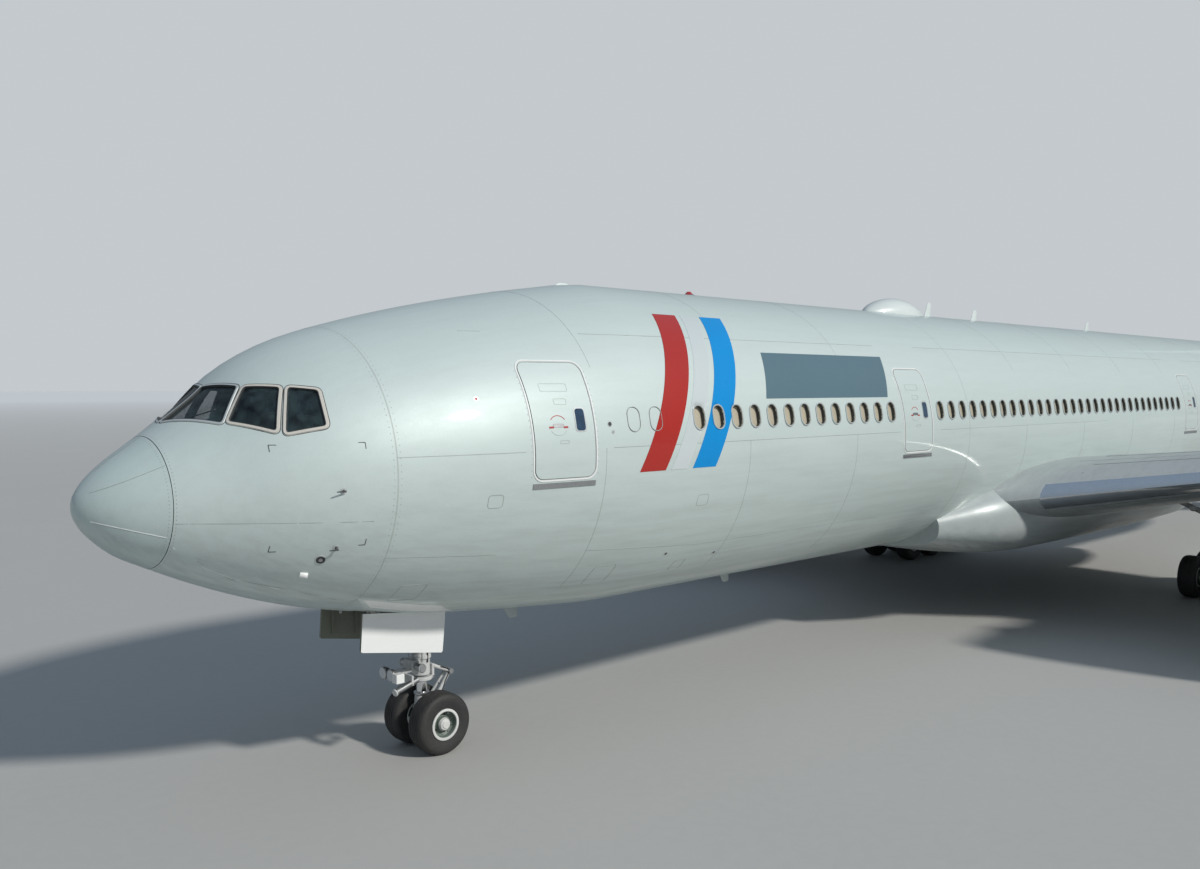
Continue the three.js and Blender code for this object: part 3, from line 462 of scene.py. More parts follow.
fairingPaint = paintFinish("fairing_grey_paint", (0.46, 0.51, 0.51), (0.38, 0.425, 0.425), 0.12, 0.35,
                           roughness=0.38, Metallic=0.1, coat=(0.3, 0.15))
seamPaint = paintFinish("seam_sealant", (0.36, 0.41, 0.40), (0.29, 0.33, 0.32), roughness=0.5, patch=4.0)
wingSeam = paintFinish("wing_seam", (0.15, 0.165, 0.17), (0.11, 0.12, 0.125), roughness=0.5, patch=4.0)
jointPaint = paintFinish("joint_filler", (0.46, 0.52, 0.50), (0.40, 0.45, 0.44), roughness=0.45, patch=4.0)
paleSeam = paintFinish("bright_seam", (0.66, 0.70, 0.69), (0.58, 0.62, 0.61), roughness=0.3, patch=4.0,
                       Metallic=0.5)
darkSeam = paintFinish("dark_seam", (0.05, 0.055, 0.06), (0.03, 0.034, 0.036), roughness=0.6)
redPaint = clean("bar_red", (0.42, 0.018, 0.010), (0.33, 0.012, 0.008), 0.3, underside=0.0, coat=(0.3, 0.06))
bluePaint = clean("bar_blue", (0.002, 0.27, 0.66), (0.002, 0.21, 0.57), 0.35, underside=0.0, coat=(0.1, 0.06),
                  **{"Specular IOR Level": 0.25})
silverPaint = clean("bar_silver", (0.66, 0.72, 0.73), (0.58, 0.64, 0.65), 0.3, underside=0.0, spread=0.1, bump=0.0,
                    Metallic=0.2, coat=(0.5, 0.06))
bandPaint = clean("band_grey_blue", (0.115, 0.20, 0.245), (0.095, 0.17, 0.21), 0.32, underside=0.0, Metallic=0.2,
                  coat=(0.4, 0.08))
markRed = clean("marking_red", (0.45, 0.05, 0.05), (0.35, 0.04, 0.04), 0.4)
windowSeal = paintFinish("windscreen_sealant", (0.60, 0.58, 0.53), (0.50, 0.48, 0.44), 0.05, patch=6.0,
                         roughness=0.45)
reveal = paintFinish("window_reveal", (0.07, 0.078, 0.075), (0.04, 0.045, 0.045), patch=8.0, roughness=0.5)
blindCream = clean("cabin_blind", (0.52, 0.47, 0.36), (0.42, 0.38, 0.29), 0.4, patch=5.0, underside=0.0,
                   coat=(0.8, 0.03))
linerGrey = clean("flight_deck_lining", (0.12, 0.13, 0.13), (0.085, 0.092, 0.095), 0.7, patch=5.0)
cabinTrim = clean("flight_deck_trim", (0.27, 0.285, 0.28), (0.19, 0.20, 0.20), 0.6, patch=6.0)
seatFabric = clean("seat_cover", (0.05, 0.065, 0.09), (0.03, 0.04, 0.06), 0.8, patch=14.0, speckle=220.0, bump=0.3)
sheepskin = clean("seat_fleece", (0.46, 0.40, 0.30), (0.34, 0.29, 0.21), 0.9, patch=20.0, speckle=200.0, bump=0.6,
                  **{"Sheen Weight": 0.4})
tyreRubber = clean("tyre_rubber", (0.022, 0.022, 0.024), (0.045, 0.043, 0.04), 0.62, patch=3.0, speckle=50.0,
                   spread=0.8, bump=0.15, underside=0.0)
blackRubber = clean("black_rubber", (0.014, 0.014, 0.015), (0.03, 0.03, 0.03), 0.55, patch=6.0)
gearPaint = paintFinish("gear_enamel", (0.60, 0.62, 0.62), (0.46, 0.47, 0.47), 0.25, patch=4.0, roughness=0.35,
                        coat=(0.3, 0.1))
rimPaint = paintFinish("wheel_rim_white", (0.70, 0.71, 0.70), (0.52, 0.52, 0.50), 0.1, 0.1, patch=6.0,
                       roughness=0.35, coat=(0.3, 0.1))
discPaint = paintFinish("wheel_disc_primer", (0.15, 0.19, 0.165), (0.09, 0.115, 0.10), 0.2, patch=10.0,
                        roughness=0.4)
bayPaint = paintFinish("bay_primer", (0.20, 0.215, 0.175), (0.14, 0.15, 0.125), 0.1, patch=3.0, roughness=0.5)
hoseBlack = paintFinish("hose_black", (0.02, 0.02, 0.022), (0.035, 0.034, 0.03), patch=10.0, roughness=0.5)
lampGlass = clean("lamp_lens", (0.75, 0.78, 0.8), (0.6, 0.63, 0.66), 0.08, patch=8.0, coat=(1.0, 0.02))
beaconRed = clean("beacon_red", (0.45, 0.02, 0.015), (0.3, 0.01, 0.01), 0.1, coat=(1.0, 0.02))
navGreen = clean("position_lamp_green", (0.02, 0.32, 0.10), (0.01, 0.22, 0.07), 0.1, coat=(1.0, 0.02))
screenGlass = clean("display_glass", (0.01, 0.012, 0.016), (0.006, 0.007, 0.01), 0.08)
chrome = metalFinish("piston_chrome", (0.78, 0.79, 0.80), (0.66, 0.67, 0.69), (6, 6, 1), roughness=0.07, spread=0.1)
bareSteel = metalFinish("bare_steel", (0.52, 0.53, 0.54), (0.38, 0.385, 0.39))
lipMetal = metalFinish("inlet_lip_metal", (0.74, 0.755, 0.77), (0.64, 0.655, 0.67), (1, 0.3, 0.3), roughness=0.12,
                       spread=0.15)
fanMetal = metalFinish("fan_blade_metal", (0.33, 0.34, 0.36), (0.24, 0.25, 0.27), roughness=0.28)
coreMetal = metalFinish("core_heat_metal", (0.40, 0.35, 0.31), (0.27, 0.235, 0.21), (0.3, 1, 1), roughness=0.32,
                        spread=0.3)
glass, *_ = glassFinish("windscreen_glass", (0.06, 0.10, 0.11), (0.006, 0.010, 0.016), 6.0, 14.0, 1.0, 0.02,
                        Roughness=0.02, Alpha=0.34)
doorGlass, doorTree, doorShader, doorTone = glassFinish(
    "door_window_glass", (0.03, 0.07, 0.13), (0.015, 0.035, 0.07), 4.0, 20.0, 0.9, 0.12, coat=(1.0, 0.02))
feed(doorTree, doorShader, {"Roughness": doorTone["Roughness"]})
print("materials made:", len(bpy.data.materials))


# Hull surface: each station is two half ellipses that meet at the waist, and the curves between
# stations are smooth. Columns: x, then crown, keel, half width and waist from the centre line.

hull = {
    "stations": [
        (0.00, -0.58, -0.58, 0.00, -0.58), (0.03, -0.42, -0.74, 0.18, -0.58), (0.11, -0.29, -0.89, 0.36, -0.58),
        (0.28, -0.10, -1.085, 0.60, -0.58), (0.56, 0.125, -1.315, 0.875, -0.575),
        (0.95, 0.395, -1.515, 1.155, -0.55), (1.60, 0.89, -1.82, 1.56, -0.50), (2.25, 1.45, -2.08, 1.95, -0.42),
        (3.05, 1.865, -2.34, 2.32, -0.31), (4.05, 2.175, -2.57, 2.62, -0.18), (5.35, 2.49, -2.79, 2.88, -0.06),
        (6.85, 2.78, -2.94, 3.02, 0.0), (8.00, 2.96, -3.035, 3.08, 0.0), (9.20, 3.10, -3.10, 3.10, 0.0),
        (45.0, 3.10, -3.10, 3.10, 0.0), (48.5, 3.09, -2.78, 3.01, 0.12), (52.0, 3.03, -2.00, 2.70, 0.43),
        (55.5, 2.90, -1.09, 2.18, 0.86), (59.0, 2.64, -0.18, 1.45, 1.24), (61.8, 2.33, 0.54, 0.76, 1.45),
        (63.3, 2.06, 0.96, 0.33, 1.51), (63.73, 1.90, 1.13, 0.15, 1.52)],
    "sides": 128, "wall": 0.07, "lipGap": 0.004,
    # steps between rings: of the nose in square roots of metres, of the barrel and of the tail
    "noseStep": 0.08, "barrelStep": 1.5, "tailStep": 0.5, "curvedTo": 9.2, "curvedFrom": 45.0,
}


def smoothColumn(rows, column):
    # a curve over the square root of x that passes through the rows and never overshoots them
    keys, values = [math.sqrt(row[0]) for row in rows], [row[column] for row in rows]
    steps = [after - before for before, after in zip(keys, keys[1:])]
    slopes = [(after - before) / step for before, after, step in zip(values, values[1:], steps)]
    tangents = [slopes[0]]
    for before, after in zip(slopes, slopes[1:]):
        tangents.append(0 if before * after <= 0 else 2 * before * after / (before + after))
    tangents.append(slopes[-1])

    def valueAt(x):
        key = math.sqrt(max(x, 0))
        index = min(max(bisect.bisect_right(keys, key) - 1, 0), len(steps) - 1)
        part = min(max((key - keys[index]) / steps[index], 0), 1)
        rest = 1 - part
        ends = (1 + 2 * part) * rest * rest * values[index] + part * part * (3 - 2 * part) * values[index + 1]
        bend = part * rest * rest * tangents[index] - part * part * rest * tangents[index + 1]
        return ends + bend * steps[index]
    return valueAt


crownAt, keelAt, widthAt, waistAt = (smoothColumn(hull["stations"], column) for column in (1, 2, 3, 4))


def reachAt(x, z):
    # the waist, and how far the hull reaches from it on the side of a height
    waist = waistAt(x)
    return waist, crownAt(x) - waist if z >= waist else waist - keelAt(x)


def hullPoint(x, angle, lift=0):
    # angle 0 faces right, a quarter turn is the crown and a half turn faces left
    waist, reach = reachAt(x, waistAt(x) + math.sin(angle))
    point = Vector((x, widthAt(x) * math.cos(angle), waist + math.sin(angle) * reach))
    return point + hullNormal(x, angle) * lift if lift else point


def hullNormal(x, angle):
    step = 0.004
    along = hullPoint(x + step, angle) - hullPoint(max(x - step, 0), angle)
    around = hullPoint(max(x, step), angle + 0.001) - hullPoint(max(x, step), angle - 0.001)
    normal = around.cross(along)
    return normal.normalized() if normal.length > 1e-12 else Vector((-1, 0, 0))


def hullAngle(x, z, side):
    # the angle at a height, on the left (-1) or the right (1)
    waist, reach = reachAt(x, z)
    angle = math.asin(min(max((z - waist) / reach, -1), 1))
    return angle if side > 0 else math.pi - angle


def angleOf(point):
    waist, reach = reachAt(point[0], point[2])
    return math.atan2((point[2] - waist) / max(reach, 1e-6), point[1] / max(widthAt(point[0]), 1e-6))


def onHull(x, angle):
    return hullPoint(x, angle), hullNormal(x, angle)


def sideSurface(side):
    return lambda x, z: onHull(x, hullAngle(x, z, side))


def bellySurface(x, y):
    return onHull(x, -math.acos(min(max(y / widthAt(x), -1), 1)))


def followHull(piece):
    # outer faces take the smooth hull's normals, so that cuts don't mark the gloss
    mesh, known = piece.data, {}
    normals = [None] * len(mesh.loops)
    for face in mesh.polygons:
        for corner in face.loop_indices:
            index = mesh.loops[corner].vertex_index
            if index not in known:
                point = realPoint(mesh.vertices[index].co)
                known[index] = hullNormal(point[0], angleOf(point))
            agrees = face.material_index == 0 and known[index].dot(face.normal) > 0.9
            normals[corner] = known[index] if agrees else face.normal
    mesh.normals_split_custom_set(normals)


def ringPlaces(x0, x1):
    # x of the rings between two joints, close together where the hull is curved
    places, x = [], x0
    while x <= x1 - 0.05 or not places:
        places.append(x)
        if x < hull["curvedTo"]:
            x = (math.sqrt(x) + hull["noseStep"]) ** 2
        else:
            x += hull["barrelStep"] if x < hull["curvedFrom"] else hull["tailStep"]
    return places + [x1]


def hullSection(name, x0, x1, outerMaterial):
    # a closed shell: the outer skin, the inner skin, and the edges that join them
    count = hull["sides"]
    places = ringPlaces(x0 + (hull["lipGap"] if x0 > 0 else 0.0), x1 - hull["lipGap"])
    angles = [fullTurn * side / count for side in range(count)]
    points = [hullPoint(x, angle) for x in places for angle in angles]
    points += [hullPoint(max(x, 0.05), angle, -min(hull["wall"], widthAt(x) * 0.4 + 0.01))
               for x in places for angle in angles]
    rows, faces, indices = len(places), [], []

    def quadsBetween(first, second, flip, material):
        for side in range(count):
            after = (side + 1) % count
            quad = (first * count + side, first * count + after, second * count + after, second * count + side)
            faces.append(quad[::-1] if flip else quad)
            indices.append(material)
    for row in range(rows - 1):
        quadsBetween(row, row + 1, False, 0)
        quadsBetween(rows + row, rows + row + 1, True, 1)
    quadsBetween(rows - 1, 2 * rows - 1, False, 2)
    if x0 > 0:
        quadsBetween(0, rows, True, 2)
    piece = newPiece(name, points, faces, [outerMaterial, linerGrey, reveal], indices)
    if x0 == 0:
        with editing(piece) as tip:
            bmesh.ops.remove_doubles(tip, verts=tip.verts, dist=1e-5)
            bmesh.ops.holes_fill(tip, edges=[edge for edge in tip.edges if edge.is_boundary])
            bmesh.ops.recalc_face_normals(tip, faces=tip.faces)
    return piece


# Strips and patches that lie on a surface

def strip(name, rows, width, height, material, closed=False, sink=0.004):
    # a low bead along (point, normal) rows: two raised rails with flanks that start under the surface
    made, count = [], len(rows)
    bevel = min(width * 0.25, max(height, 0.001))
    for index, (point, normal) in enumerate(rows):
        before = rows[index - 1][0] if closed or index else point
        after = rows[(index + 1) % count][0] if closed or index < count - 1 else point
        across = normal.cross(after - before).normalized()
        made += [point + across * offset + normal * rise for offset, rise in (
            (-width / 2, -sink), (-width / 2 + bevel, height), (width / 2 - bevel, height), (width / 2, -sink))]
    faces = [(index * 4 + column, after * 4 + column, after * 4 + column + 1, index * 4 + column + 1)
             for index, after in enumerate([*range(1, count), *([0] if closed else [])]) for column in range(3)]
    if not closed:
        faces += [(3, 2, 1, 0), (count * 4 - 4, count * 4 - 3, count * 4 - 2, count * 4 - 1)]
    piece = newPiece(name, made, faces, material, smooth=False)
    if sum(rows[i][1].dot(piece.data.polygons[i * 3 + 1].normal) for i in range(min(3, count - 1))) < 0:
        piece.data.flip_normals()
    return piece


def ringStrip(name, x, width, height, material, start=0.0, end=360.0):
    # round the hull between two angles in degrees
    start, end = math.radians(start), math.radians(end)
    whole = end - start > 6.28
    angles = spread(start, end, 128 if whole else max(4, int((end - start) * 24)))
    return strip(name, [onHull(x, angle) for angle in (angles[:-1] if whole else angles)], width, height, material,
                 whole)


def sideStrip(name, path, side, width, height, material, closed=False):
    # along (x, z) places on one side of the hull
    return strip(name, [sideSurface(side)(x, z) for x, z in path], width, height, material, closed)


def roundedOutline(centreX, centreZ, width, height, corner):
    # a rounded rectangle in (x, z), anticlockwise from its lower right corner
    outline = []
    for index, (across, up) in enumerate(((1, -1), (1, 1), (-1, 1), (-1, -1))):
        x, z = centreX + across * (width / 2 - corner), centreZ + up * (height / 2 - corner)
        for angle in spread(math.pi / 2 * (index - 1), math.pi / 2 * index, 6):
            outline.append((x + corner * math.cos(angle), z + corner * math.sin(angle)))
    return outline


def between(first, last, count):
    # places that part a line evenly, without its last end
    return [tuple(a + (b - a) * step / count for a, b in zip(first, last)) for step in range(count)]


def filledIn(outline, longest):
    # the outline again, with points added so that no edge is longer than given
    return [place for start, end in zip(outline, outline[1:] + outline[:1])
            for place in between(start, end, max(1, math.ceil(math.dist(start, end) / longest)))]


def patch(name, outline, toSurface, material, lift=0.003, sink=0.004, step=0.12, edgeMaterial=None, solid=False):
    # a plate that follows a surface; toSurface gives (point, normal) for a place in the outline's plane
    flat = bmesh.new()
    flat.faces.new([flat.verts.new((u, v, 0)) for u, v in outline])
    for axis, direction in enumerate((Vector((1, 0, 0)), Vector((0, 1, 0)))):
        cut, high = min(place[axis] for place in outline) + step, max(place[axis] for place in outline)
        while cut < high - 0.01:
            bmesh.ops.bisect_plane(flat, geom=flat.verts[:] + flat.edges[:] + flat.faces[:],
                                   plane_co=direction * cut, plane_no=direction)
            cut += step
    flat.verts.index_update()
    edges = [[vert.index for vert in edge.verts] for edge in flat.edges if edge.is_boundary]
    faces = [[vert.index for vert in face.verts] for face in flat.faces]
    surface = [toSurface(vert.co.x, vert.co.y) for vert in flat.verts]
    flat.free()
    count, top = len(surface), len(faces)
    points = [point + normal * rise for rise in (lift, -sink) for point, normal in surface]
    faces += [(a, b, count + b, count + a) for a, b in edges]
    if solid:
        faces += [tuple(count + index for index in reversed(face)) for face in faces[:top]]
    piece = newPiece(name, points, faces, [material, edgeMaterial or material],
                     [0] * top + [1] * (len(faces) - top))
    with editing(piece) as mesh:
        bmesh.ops.delete(mesh, geom=[vert for vert in mesh.verts if not vert.link_faces], context="VERTS")
        bmesh.ops.recalc_face_normals(mesh, faces=mesh.faces)
        mesh.faces.ensure_lookup_table()
        if mesh.faces[0].normal.dot(surface[0][1]) < 0:
            bmesh.ops.reverse_faces(mesh, faces=mesh.faces)
        for edge in mesh.edges:
            edge.smooth = edge.calc_face_angle(0) < 0.6
    return piece


def sidePatch(name, outline, side, material, lift=0.003, sink=0.004, **options):
    return patch(name, filledIn(outline, 0.12), sideSurface(side), material, lift, sink, **options)


def outlineStrip(name, outline, side, width, height, material):
    return sideStrip(name, filledIn(outline, 0.12), side, width, height, material, closed=True)


# Geometry Nodes for what repeats: shapes on rows of points that face along their normals, or round an axle

def painted(tree, given, copies):
    real = addNode(tree, "GeometryNodeRealizeInstances", {"Geometry": copies})
    return [("Geometry", "Geometry", addNode(tree, "GeometryNodeSetMaterial", {
        "Geometry": real, "Material": given["Material"]}))]


def facedInstances(tree, given, shape, **inputs):
    # the shape on every point, its Z along the point's facing and its X kept towards the tail
    facing = addNode(tree, "GeometryNodeInputNamedAttribute", {"Name": "facing"}, data_type="FLOAT_VECTOR")
    upright = addNode(tree, "FunctionNodeAlignRotationToVector", {"Vector": facing}, axis="Z")
    aligned = addNode(tree, "FunctionNodeAlignRotationToVector", {
        "Rotation": upright, "Vector": (1.0, 0.0, 0.0)}, axis="X", pivot_axis="Z")
    return painted(tree, given, addNode(tree, "GeometryNodeInstanceOnPoints", {
        "Points": given["Geometry"], "Instance": shape, "Rotation": aligned, **inputs}))


def roundedCurve(tree, given):
    flat = addNode(tree, "GeometryNodeCurvePrimitiveQuadrilateral", {
        "Width": given["Width"], "Height": given["Height"]})
    return addNode(tree, "GeometryNodeFilletCurve", {"Curve": flat, "Count": 5, "Radius": given["Corner"]},
                   mode="POLY")


def plateRow(tree, given):
    # a rounded plate on each point, from its base up to its depth
    face = addNode(tree, "GeometryNodeFillCurve", {"Curve": roundedCurve(tree, given)}, mode="NGONS")
    raised = addNode(tree, "GeometryNodeExtrudeMesh", {
        "Mesh": face, "Offset Scale": given["Depth"], "Individual": False}, mode="FACES")
    both = addNode(tree, "GeometryNodeJoinGeometry", {"Geometry": raised})
    feed(tree, both, {0: addNode(tree, "GeometryNodeFlipFaces", {"Mesh": face})})
    closed = addNode(tree, "GeometryNodeMergeByDistance", {"Geometry": both, "Distance": 0.00001})
    return facedInstances(tree, given, addNode(tree, "GeometryNodeTransform", {
        "Geometry": closed, "Translation": addNode(tree, "ShaderNodeCombineXYZ", {"Z": given["Base"]})}))


def rimRow(tree, given):
    # a rounded ring on each point, with its own width and thickness
    section = addNode(tree, "GeometryNodeCurvePrimitiveQuadrilateral", {
        "Width": given["Rim"], "Height": given["Thickness"]})
    return facedInstances(tree, given, addNode(tree, "GeometryNodeCurveToMesh", {
        "Curve": roundedCurve(tree, given), "Profile Curve": section}))


def studRow(tree, given):
    # low domed fasteners, each slightly different in size
    dome = addNode(tree, "GeometryNodeMeshUVSphere", {"Segments": 8, "Rings": 4, "Radius": given["Radius"]})
    flat = addNode(tree, "ShaderNodeCombineXYZ", {"X": 1.0, "Y": 1.0, "Z": given["Rise"]})
    low = addNode(tree, "GeometryNodeTransform", {"Geometry": dome, "Scale": flat})
    size = addNode(tree, "FunctionNodeRandomValue", {
        2: reckon(tree, "SUBTRACT", 1.0, given["Variation"]), 3: 1.0, "Seed": given["Seed"]}, data_type="FLOAT")
    return facedInstances(tree, given, low, Scale=size.outputs[1])


def axleRow(tree, given):
    # copies of a shape round an axle through a centre
    back = addNode(tree, "ShaderNodeVectorMath", {0: given["Centre"], "Scale": -1.0}, operation="SCALE")
    moved = addNode(tree, "GeometryNodeTransform", {"Geometry": given["Geometry"], "Translation": back})
    points = addNode(tree, "GeometryNodeMeshLine", {
        "Count": given["Count"], "Start Location": given["Centre"], "Offset": (0.0, 0.0, 0.0)})
    part = reckon(tree, "DIVIDE", addNode(tree, "GeometryNodeInputIndex"), given["Count"])
    turn = addNode(tree, "ShaderNodeVectorMath", {
        0: given["Axle"], "Scale": reckon(tree, "MULTIPLY", part, fullTurn)}, operation="SCALE")
    return painted(tree, given, addNode(tree, "GeometryNodeInstanceOnPoints", {
        "Points": points, "Instance": moved, "Rotation": turn}))


def rowTree(name, build, *sizes):
    return newGroup(name, "GeometryNodeTree", [("Geometry", "Geometry"), *sizes, ("Material", "Material")], build)


windowSizes = [("Width", "Float", 0.1), ("Height", "Float", 0.2), ("Corner", "Float", 0.05)]
roundedPlates = rowTree("roundedPlates", plateRow, *windowSizes, ("Depth", "Float", 0.1), ("Base", "Float", 0.0))
roundedRims = rowTree("roundedRims", rimRow, *windowSizes, ("Rim", "Float", 0.01), ("Thickness", "Float", 0.01))
fasteners = rowTree("fasteners", studRow, ("Radius", "Float", 0.005), ("Rise", "Float", 0.3),
                    ("Variation", "Float", 0.1), ("Seed", "Int", 4))
ringOfCopies = rowTree("ringOfCopies", axleRow, ("Count", "Int", 8), ("Centre", "Vector", (0.0, 0.0, 0.0)),
                       ("Axle", "Vector", (1.0, 0.0, 0.0)))


def runTree(piece, tree, values):
    modifier = piece.modifiers.new("row", "NODES")
    modifier.node_group = tree
    for item in tree.interface.items_tree:
        if item.in_out == "INPUT" and item.name in values:
            modifier[item.identifier] = values[item.name]
    return applied(piece)


def grown(name, places, tree, material, plain=(), **lengths):
    # runs a tree over (point, normal) pairs; lengths are real metres, plain values are taken as they are
    mesh = bpy.data.meshes.new(name)
    mesh.from_pydata([place(*point) for point, _ in places], [], [])
    facing = mesh.attributes.new("facing", "FLOAT_VECTOR", "POINT")
    facing.data.foreach_set("vector", [number for _, normal in places for number in normal])
    values = {label: value * modelScale for label, value in lengths.items()}
    return sharpened(runTree(linked(name, mesh), tree, {"Material": material, **values, **dict(plain)}))


def ringed(piece, centre, count, material, axle=(1.0, 0.0, 0.0)):
    return runTree(piece, ringOfCopies, {
        "Count": count, "Centre": tuple(place(*centre)), "Axle": axle, "Material": material})


# Cabin windows

cabinWindows = {
    "firstX": 9.58, "pitch": 0.5334, "lastX": 47.4, "z": 0.56, "width": 0.285, "height": 0.42, "corner": 0.135,
    "rim": 0.022, "blindDepth": 0.085, "besideDoor": 0.86, "blanks": [7.95, 8.47],
}
doors = {
    "centres": [6.465, 17.1, 35.4, 48.3], "width": 1.26, "sill": -0.385, "head": 1.53, "corner": 0.19,
    "edgeWidth": 0.042, "edgeRise": 0.010,
    "holds": {      # centre x, width, sill z, head z
        "forward_cargo_door": (11.7, 2.69, -2.33, -0.76), "aft_cargo_door": (42.6, 1.78, -2.33, -0.76)},
    "bulk": (46.3, 0.91, -2.05, -1.0), "holdGap": 0.024, "panelDepth": 0.16,
}


def windowPlaces(side):
    settings, places = cabinWindows, []
    x = settings["firstX"]
    while x < settings["lastX"]:
        if all(abs(x - centre) > settings["besideDoor"] for centre in doors["centres"]):
            places.append(sideSurface(side)(x, settings["z"]))
        x += settings["pitch"]
    return places


def windowRow(name, places, tree, material, grow=0.0, corner=0.0, **more):
    width, height, radius = (cabinWindows[label] for label in ("width", "height", "corner"))
    return grown(name, places, tree, material, Width=width + grow, Height=height + grow, Corner=radius + corner,
                 **more)


def windowCutter(places):
    return windowRow("window_cut", places, roundedPlates, reveal, Depth=0.4, Base=-0.2)


def buildCabinWindows():
    rim = cabinWindows["rim"]
    both = windowPlaces(-1) + windowPlaces(1)
    finishPiece(windowRow("cabin_window_rims", both, roundedRims, paleSeam, rim, rim / 2, Rim=rim, Thickness=0.03),
                "airframe", "hull_paint")
    finishPiece(windowRow("cabin_window_blinds", both, roundedPlates, blindCream, 0.05, 0.02, Depth=0.012,
                          Base=-cabinWindows["blindDepth"]), "airframe", "cabin_trim")
    blanks = [sideSurface(side)(x, cabinWindows["z"]) for side in (-1, 1) for x in cabinWindows["blanks"]]
    finishPiece(windowRow("blanked_windows", blanks, roundedRims, seamPaint, Rim=0.010, Thickness=0.016),
                "airframe", "hull_paint")
    print("cabin windows:", len(both))


# Flight deck: windows given by corners on the left, lower front, lower back, upper back, upper front

flightDeck = {
    "windows": [
        [(1.240, -0.035, 0.590), (1.690, -1.050, 0.590), (2.040, -0.785, 1.088), (1.835, -0.035, 1.085)],
        [(1.765, -1.120, 0.612), (2.200, -1.660, 0.490), (2.425, -1.315, 1.080), (2.095, -0.905, 1.080)],
        [(2.315, -1.755, 0.462), (2.790, -1.997, 0.557), (2.832, -1.680, 1.045), (2.525, -1.408, 1.080)]],
    "corner": 0.048, "frameWidths": [0.05, 0.06, 0.06], "frameRise": 0.012, "paneDepth": 0.018,
    "paneThickness": 0.012,
}


def neighbours(ring):
    return zip(ring[-1:] + ring[:-1], ring, ring[1:] + ring[:1])


def windowPlane(corners):
    a, b, c, d = corners
    along, middle = (b - a).normalized(), (a + b + c + d) / 4
    normal = along.cross(d + c - a - b).normalized()
    if normal.dot(hullNormal(middle.x, angleOf(middle))) < 0:
        normal.negate()
    return middle, along, normal.cross(along), normal


def ontoHull(point, direction):
    # where the line through a point meets the hull
    low, high = -0.6, 0.6
    for _ in range(28):
        middle = (low + high) / 2
        place = point + direction * middle
        waist, reach = reachAt(place.x, place.z)
        outside = (place.y / widthAt(place.x)) ** 2 + ((place.z - waist) / reach) ** 2 > 1
        low, high = (low, middle) if outside else (middle, high)
    return point + direction * low


def windowOutline(corners, grow=0.0):
    # the outline in the window's own plane, grown on all sides alike, with its corners rounded off
    middle, along, up, _ = windowPlane(corners)
    flat = [Vector(((corner - middle).dot(along), (corner - middle).dot(up))) for corner in corners]
    centre = sum(flat, Vector((0, 0))) / 4
    moved, made = [], []
    for before, corner, after in neighbours(flat):
        first, second = (Vector((-edge.y, edge.x)).normalized() for edge in (corner - before, after - corner))
        inward = [side if side.dot(centre - corner) > 0 else -side for side in (first, second)]
        bisector = (inward[0] + inward[1]).normalized()
        moved.append(corner - bisector * grow / max(bisector.dot(inward[0]), 0.3))
    for before, corner, after in neighbours(moved):
        back, ahead = (before - corner).normalized(), (after - corner).normalized()
        reach = flightDeck["corner"] + grow / math.tan(back.angle(ahead) / 2)
        start, end = corner + back * reach, corner + ahead * reach
        made += [tuple(start.lerp(corner, part).lerp(corner.lerp(end, part), part)) for part in spread(0, 1, 6)]
    return made


def onWindow(corners):
    # (point, normal) on the hull for a place in the window's plane
    middle, along, up, normal = windowPlane(corners)

    def surface(u, v):
        point = ontoHull(middle + along * u + up * v, normal)
        return point, hullNormal(point.x, angleOf(point))
    return surface


def deckWindows():
    return [(f"{side}_{number}", number, [Vector((x, -sign * y, z)) for x, y, z in corners])
            for side, sign in sides.items() for number, corners in enumerate(flightDeck["windows"])]


def windowCut(corners):
    middle, along, up, normal = windowPlane(corners)
    return prism("window_cut", *([middle + along * u + up * v + normal * reach for u, v in windowOutline(corners)]
                                 for reach in (-0.25, 0.25)), **cutting)


def buildWindscreen():
    frames, panes, seals = [], [], []
    for label, number, corners in deckWindows():
        surface, width, depth = onWindow(corners), flightDeck["frameWidths"][number], flightDeck["paneDepth"]
        for made, grow, across, high, paint in (
                (frames, width / 2, width, flightDeck["frameRise"], windowSeal if number else paleSeam),
                (seals, 0.006, 0.012, 0.014, darkSeam), (seals, width + 0.004, 0.012, 0.003, darkSeam)):
            edge = [surface(u, v) for u, v in filledIn(windowOutline(corners, grow), 0.07)]
            made.append(strip("frame_" + label, edge, across, high, paint, closed=True))
        panes.append(patch("pane_" + label, filledIn(windowOutline(corners, 0.012), 0.12), surface, glass,
                           lift=-depth, sink=depth + flightDeck["paneThickness"], solid=True))
    finishJoined("windscreen_frames", frames, "hull_paint")
    finishJoined("windscreen_seals", seals, "hull_paint")
    finishJoined("windscreen_panes", panes, "glass", "flight_deck_glazing")


# Hull sections, with the windows, the cargo doors and the nose gear bay cut through

sections = {        # x of both joints
    "radome": (0.0, 0.95), "nose_section": (0.95, 3.65), "forward_fuselage": (3.65, 19.5),
    "centre_fuselage": (19.5, 38.5), "aft_fuselage": (38.5, 51.5), "tail_cone": (51.5, 63.73),
}
gearBay = {"front": 4.0, "back": 6.2, "halfWidth": 0.62, "top": -1.5, "bottom": -3.3}
cutting = {"materials": [reveal] * 3, "marks": (2, 2, 2)}


def slab(name, outline, y0, y1, materials, marks=(0, 0, 0)):
    # an outline in x and z given a thickness across
    return prism(name, *([(x, y, z) for x, z in outline] for y in (y0, y1)), materials, marks)


def doorOutline(row, grow, corner):
    centreX, width, sill, head = row
    return roundedOutline(centreX, (sill + head) / 2, width + 2 * grow, head - sill + 2 * grow, corner)


